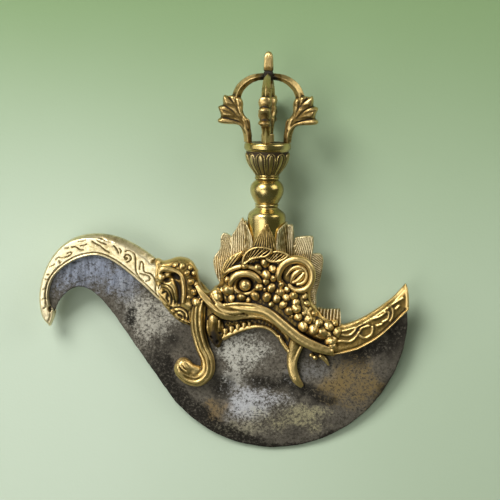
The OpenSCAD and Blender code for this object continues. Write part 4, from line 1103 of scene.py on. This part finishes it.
cast_mane("mane_left", (-24, -10, -21), (-4, 10, 12), [
    ([[-17, -20], [-19.2, -19], [-21.4, -14.9], [-22.7, -9.7], [-22.4, -6.8], [-20.7, -4.4], [-19.7, -2.4],
      [-19.7, 1.3], [-19, 3.1], [-17.8, 3.5], [-15.2, 2.2], [-11, -3], [-11, -17]],
     (-13, -18), (-18.6, 5.5), 1.8),
    ([[-14.9, -6], [-15, 1.8], [-12.9, 5.6], [-11, 9.6], [-10.1, 10.2], [-8.4, 6], [-6.6, 0.6], [-6, -8],
      [-11, -12]], (-9.4, -10), (-10.6, 11), 2.15)],
    [[-9.6, 10], [-8.2, 8], [-6.6, 5], [-5.6, 2.2], [-5.2, -2], [-5.4, -8], [-9.4, -8], [-9.4, 2]])
cast_mane("mane_right", (4, -10, -27.5), (25.4, 10, 10), [
    ([[18, -6], [21.2, -4.4], [23.6, -4.6], [24.6, -6.4], [24.6, -9.4], [23.4, -16.5], [21.9, -22.4],
      [22, -26.4], [18.6, -25.4], [14, -16]], (14, -14), (27, -17.5), 1.6),
    ([[12.1, -4], [12.3, 1.6], [13.4, 2.6], [16, 3], [19.4, 3.1], [20.3, 2], [20.2, -3.6],
      [18.6, -9], [12, -10]], (14.6, -12), (18, 3.6), 1.9),
    ([[6.5, -8], [6.4, 3.6], [7.1, 6.4], [8.2, 7.2], [11.2, 7.9], [11.8, 4], [11.9, 0], [11.8, -8]],
     (9.2, -12), (9.9, 9.5), 2.15)],
    [[5.1, -8], [5, 2], [5.4, 5.6], [6.6, 7.2], [9.4, 7.8], [9.6, -8]])

# Jaw comb. A short fringe of upright ribs behind the corner of the jaw.
comb = Wax((22, -2.6, -37), (33.8, 2.6, -27.4), 0.2)
x, z = comb.plane()
comb_outline = [[22.7, -27.6], [25.3, -28.4], [32.3, -28.2], [32.9, -33.8], [32.5, -36.3], [26, -33.6]]
gap = outline_gap(comb, comb_outline)
ribs = (0.5 - 0.5 * np.cos(2 * math.pi * (x - 23.6 - 0.06 * (z + 28)) / 1.42)) ** 0.8 + 0 * z
comb.plate(gap, 2.15 - 1.1 * (1 - ribs), None, 0.4)
cast("jaw_comb_cast", comb, "jaw_comb", company, 0.4 * (1 - ribs), finish=worn_brass)


# Turned handle. Ferrule, neck ring, grip bulb, collar, lotus cup and plain rim are turned pieces
# that stack up on the tang; the cup carries twelve raised petals.
def turned_brass(nodes, where):
    grime = nodes.add("ShaderNodeAttribute", {"attribute_name": "hollow"}, None, "Fac")
    worn = grime.between(0.22, 0.8)
    clouds = nodes.noise(where, 60, 4, 0.55)
    along = nodes.vector("DOT_PRODUCT", {0: where, 1: tuple(laid @ Vector((0, 0, 1)))}, "Value")
    lines = nodes.add("ShaderNodeTexNoise", {"noise_dimensions": "1D"}, {
        "W": along, "Scale": 2200, "Detail": 2})
    fresh = nodes.mix(clouds.between(0.35, 0.7), (0.45, 0.33, 0.105), (0.75, 0.6, 0.29))
    colour = nodes.mix(worn, fresh, (0.05, 0.03, 0.012))
    return {"Base Color": colour, "Metallic": 1 - worn * 0.6,
            "Roughness": (0.2 + clouds * 0.14 + worn * 0.3).clamped(),
            "Normal": nodes.bump(lines * 0.3 + clouds, 0.07, 0.0004)}


polished = finish_named("turned_brass", turned_brass)
petal_count = 12

# The turned pieces' profiles from the bottom up, as radius and height.
stack = {
    "ferrule": [[8.2, -4.95], [8.2, 2], [8.2, 9.6], [8.16, 10.9], [7.95, 12], [7.3, 12.9], [6.3, 13.7],
                [5.3, 14.5], [4.7, 15.25]],
    "neck_ring": [[4.65, 15.35], [4.95, 15.55], [5.03, 15.95], [4.95, 16.35], [4.65, 16.55]],
    "bulb": [[4.7, 16.65], [5.1, 17.1], [5.7, 18.2], [6.4, 19.5], [6.95, 20.9], [7.2, 22.3], [7.15, 23.5],
             [6.7, 24.8], [5.9, 25.9], [5.1, 26.6], [4.75, 26.95]],
    "collar_ring": [[4.75, 27.05], [5.15, 27.2], [5.3, 27.6], [5.2, 28], [4.85, 28.2], [5.1, 28.4],
                    [5.25, 28.75], [5.1, 29.05], [4.85, 29.15]],
    "lotus_cup": [[4.85, 29.25], [5.2, 29.8], [6.1, 31], [7.1, 32.3], [8, 33.8], [8.6, 35.4], [8.9, 37],
                  [8.95, 38.3], [9.1, 38.7], [9.1, 39.05]],
    "cup_rim": [[9.15, 39.15], [9.3, 39.5], [9.7, 39.8], [9.98, 40.4], [10, 41.1], [9.95, 42], [9.6, 42.6],
                [9, 42.86], [6, 42.88], [2.6, 42.88]]}


def petals(profile, angles):
    """How far the petals stand out over the lotus cup's profile."""
    z = profile[:, 1:]
    turn = (angles * petal_count / (2 * math.pi)) % 1 * 2 - 1
    share = np.clip((z - 29.5) / 9, 0, 1)
    half = 0.98 * np.sqrt(np.clip(1 - (np.clip(share - 0.72, 0, 1) / 0.28) ** 2, 0, 1))
    inside = (half - np.abs(turn)) * 2.4
    step = np.clip(inside / 0.3, 0, 1)
    tongue = np.clip((inside - 1) / 0.5, 0, 1)
    return 0.55 * step * step * (3 - 2 * step) - 0.52 * mark(inside - 1.05, 0.36) - 0.15 * tongue


# Dirt gathers where the stack is thinner than its surroundings, and between the petals.
rows, owners = [], []
for name, profile in stack.items():
    profile = curve(profile, 10 if name == "lotus_cup" else 5)
    rows.append(profile)
    owners += [name] * len(profile)
rows = np.vstack(rows)
owners = np.array(owners)
near = np.exp(-((rows[:, None, 1] - rows[None, :, 1]) / 0.55) ** 2)
groove = (near @ rows[:, 0]) / near.sum(1) - rows[:, 0]
for name in stack:
    mine = owners == name
    profile = rows[mine]
    sides = 384 if name == "lotus_cup" else 96
    angles = np.arange(sides) * 2 * math.pi / sides
    relief = petals(profile, angles) * (name == "lotus_cup")
    hollow = 0.12 + 2.2 * np.clip(groove[mine], 0, 1)[:, None] + 0 * relief
    if name == "lotus_cup":
        hollow = np.clip(hollow + 1 - 2 * relief, 0, 1)
    shape = turned(profile, sides, relief)
    hollow = np.append(hollow.ravel(), [0.5, 0.5])
    slot = "cast_brass" if name == "lotus_cup" else "turned_brass"
    fit_piece(name + "_turned", mesh_of(name + "_turned", [shape], polished, hollow), slot, name)


# Vajra prongs. Four bars spring from the rim, open into a lobed leaf and arch in to the centre.
prong_foot = 42.92
centre_half = 2
prong = Wax((1.2, -5.4, 42.4), (22.4, 5.4, 73), 0.2)
x, z = prong.plane()
sideways = np.abs(prong.axes[1])[None, :, None]
bar_line = curve([[8.3, 42], [8.5, 45.5], [9.6, 49.4], [11.9, 53.4], [13.4, 57.8], [13.5, 62], [11.8, 66],
                  [8.3, 69.1], [4.6, 70.5], [0.8, 70.8]], 5)
half = (1.5 + 0.5 * np.clip((x - 4) / 9, 0, 1) + 0 * z)[:, None, :]
off_line = line_gap(prong, bar_line)[:, None, :] / half + sideways / (0.95 * half)
prong.far = ((off_line - 1) * 0.68 * half).astype(np.float32)
leaf_outline = closed([
    [8.3, 45], [9.8, 47.6], [11.8, 49.7], [14.5, 50.3], [18.5, 50.4], [21, 51], [21.5, 52.2], [20.2, 53.5],
    [20.6, 55.6], [21.4, 57.4], [20.6, 58.3], [19.3, 58.8], [19.4, 61], [18.8, 62.8], [17.2, 62.5],
    [15.6, 62.8], [13.4, 62.6], [11.4, 61.4], [10.6, 59.6], [10.7, 57.6], [10.6, 55.4], [9.4, 53.6],
    [7.7, 52], [7.2, 48], [6.9, 45]], 4)
gap = outline_gap(prong, leaf_outline)
lobes = prong.empty_copy()
lobes.plate(gap, 1.1, None, 0.4)

# The leaf's lobes, each a pair of strands: x, z, radius and the distance from the middle.
for finger in ([[8.8, 46.4, 1.3, 0.3], [11, 49.6, 1.5, 0.6], [15.5, 51.4, 1.4, 1], [21.4, 52, 1.6, 1.1]],
               [[9, 49, 1.2, 0.3], [12, 52.4, 1.5, 0.7], [16.4, 54.4, 1.9, 0.8], [21.6, 55.6, 2.1, 0.6]],
               [[12, 53, 0.8, 1.2], [15.4, 55.6, 1.1, 1.4], [18.6, 57, 1.2, 1.4], [21.4, 57.8, 1, 1.4]],
               [[9.8, 50.6, 1.2, 0.5], [12.8, 55, 1.5, 1], [15.6, 58.4, 1.9, 0.9], [19.6, 61.2, 2.2, 0.6]],
               [[9, 49, 1.1, 0.7], [10.4, 53.4, 1.3, 1], [11.8, 57.4, 1.6, 1], [12.6, 60.4, 1.7, 0.8]],
               [[13.4, 58, 0.9, 1.3], [14.6, 61, 1.1, 1.4], [15.8, 63.4, 1, 1.2]]):
    for side in (1, -1):
        lobes.strand(path([[a, b, r, side * h] for a, b, r, h in finger], 0, 4), 0.12)
broad = (2.8 - 0.5 * mark(z - 58.4, 1.1) - 0.6 * mark(z - 53.3, 1))[:, None]
edge = 1.8 * (np.hypot(np.clip(1 + gap[:, None, :] / 1.8, 0, 9), sideways / broad) - 1)
lobes.far = -merge(-lobes.far, -edge, 0.3)
prong.far = merge(prong.far, lobes.far.astype(np.float32), 0.5)
prong.cut(np.maximum(x[:, None], sideways) - centre_half - 0.05 + 0 * z[:, None])
prong.cut(z[:, None], prong_foot)
points, faces = prong.surface(0.02)
depth = hollows(prong, points, 0.5, 1.4) * 1.6 + 0.07
# Patina and painted shade under the arches where they meet the centre bar, and painted shade on the lower
# bars' inner sides, which face the axis.
depth = depth + 0.7 * np.clip(1.6 - np.hypot(points[:, 0] - 1, points[:, 2] - 69.5) / 3.2, 0, 1)
depth = depth + 0.4 * np.clip((8.4 - points[:, 0]) / 1.2, 0, 1) * (points[:, 2] < 56)
depth = np.clip(depth, 0, 1)
for name, angle in (("right", 0), ("rear", 90), ("left", 180), ("front", 270)):
    turn = Matrix.Rotation(math.radians(angle), 3, "Z")
    shape = points @ np.array(turn).T, faces
    name = "prong_" + name
    fit_piece(name + "_cast", mesh_of(name + "_cast", [shape], dark_brass, depth), "cast_brass", name)

# Centre prong. A square bar whose rounded top stands over the arcs.
bar = Wax((-3.2, -3.2, 42.4), (3.2, 3.2, 82.2), 0.16)
x, z = bar.plane()
across, sideways, z = np.abs(x)[:, None], np.abs(bar.axes[1])[None, :, None], z[:, None]
wide = centre_half - 0.3 * mark(z - 73, 0.35) - 0.25 * np.clip((z - 75) / 5, 0, 1)
dome_foot = 78.4
dome = [np.where(z > dome_foot, np.hypot(a, (z - dome_foot) * 0.52), a) - wide
        for a in (across, sideways)]
bar.far = np.maximum(-merge(-dome[0], -dome[1], 0.7), 66 - z).astype(np.float32)
stem = np.hypot(across, sideways) - np.where(z < 46.5, 2.75, 1.4)
bar.far = np.minimum(bar.far, np.maximum(stem, z - 67).astype(np.float32))
bar.cut(z, prong_foot)
# Patina and painted shade on the bar where the arches meet it.
patina_and_shade = 0.75 * np.clip(1.6 - np.abs(z[:, 0] - 71.2) / 2.6, 0, 1) + 0 * across[:, 0]
cast("centre_prong_cast", bar, "centre_prong", marks=patina_and_shade, finish=dark_brass)


# Table and light. The chopper lies on pale green paper whose colour darkens toward the top and the
# right: painted falloff of the light. A fairly small window stands at the upper left and a weaker one
# at the upper right, in a dim green-grey room. Two soft ones, at the left and over the near side,
# are there for the brass, which shows them.
def paper(nodes, where):
    tooth = nodes.noise(where, 900, 3, 0.6)
    cloud = nodes.noise(where, 6, 2, 0.5)
    across, up = (nodes.add("ShaderNodeSeparateXYZ", None, {"Vector": where}, axis) for axis in (0, 1))
    # Painted falloff of the light: paler toward the bottom, deeper green toward the top and the right.
    pale = (0.14 - up).between(0, 0.17) * (1 - across.between(-0.08, 0.12) * 0.38)
    colour = nodes.mix((pale + (cloud - 0.5) * 0.15).clamped(), (0.185, 0.285, 0.12), (0.51, 0.59, 0.465))
    return {"Base Color": colour, "Roughness": 0.9, "Normal": nodes.bump(tooth, 0.15, 0.0003)}


reach = 1.5
floor_mesh = bpy.data.meshes.new("paper")
floor_mesh.from_pydata([(-reach, -reach, 0), (reach, -reach, 0), (reach, reach, 0), (-reach, reach, 0)],
                       [], [(0, 1, 2, 3)])
floor_mesh.materials.append(finish_named("green_paper", paper))
floor = bpy.data.objects.new("paper", floor_mesh)
bpy.context.scene.collection.objects.link(floor)

for name, place, size, power in (
        ("left_window", (-0.52, 0.68, 0.86), 0.6, 14.5), ("right_window", (0.9, 0.62, 0.55), 0.7, 4.5),
        ("side_window", (-0.95, 0.1, 0.7), 0.7, 2.5), ("near_window", (-0.42, -0.3, 1), 0.6, 3.4)):
    lamp = bpy.data.lights.new(name, "AREA")
    lamp.size = size
    lamp.energy = power
    holder = bpy.data.objects.new(name, lamp)
    holder.location = place
    holder.rotation_euler = (-Vector(place)).to_track_quat("-Z", "Y").to_euler()
    bpy.context.scene.collection.objects.link(holder)

world = bpy.data.worlds.new("room")
world.use_nodes = True
room = world.node_tree.nodes["Background"].inputs
room["Color"].default_value = (0.28, 0.33, 0.23, 1)
room["Strength"].default_value = 0.3
bpy.context.scene.world = world
bpy.context.scene.view_settings.view_transform = "Standard"
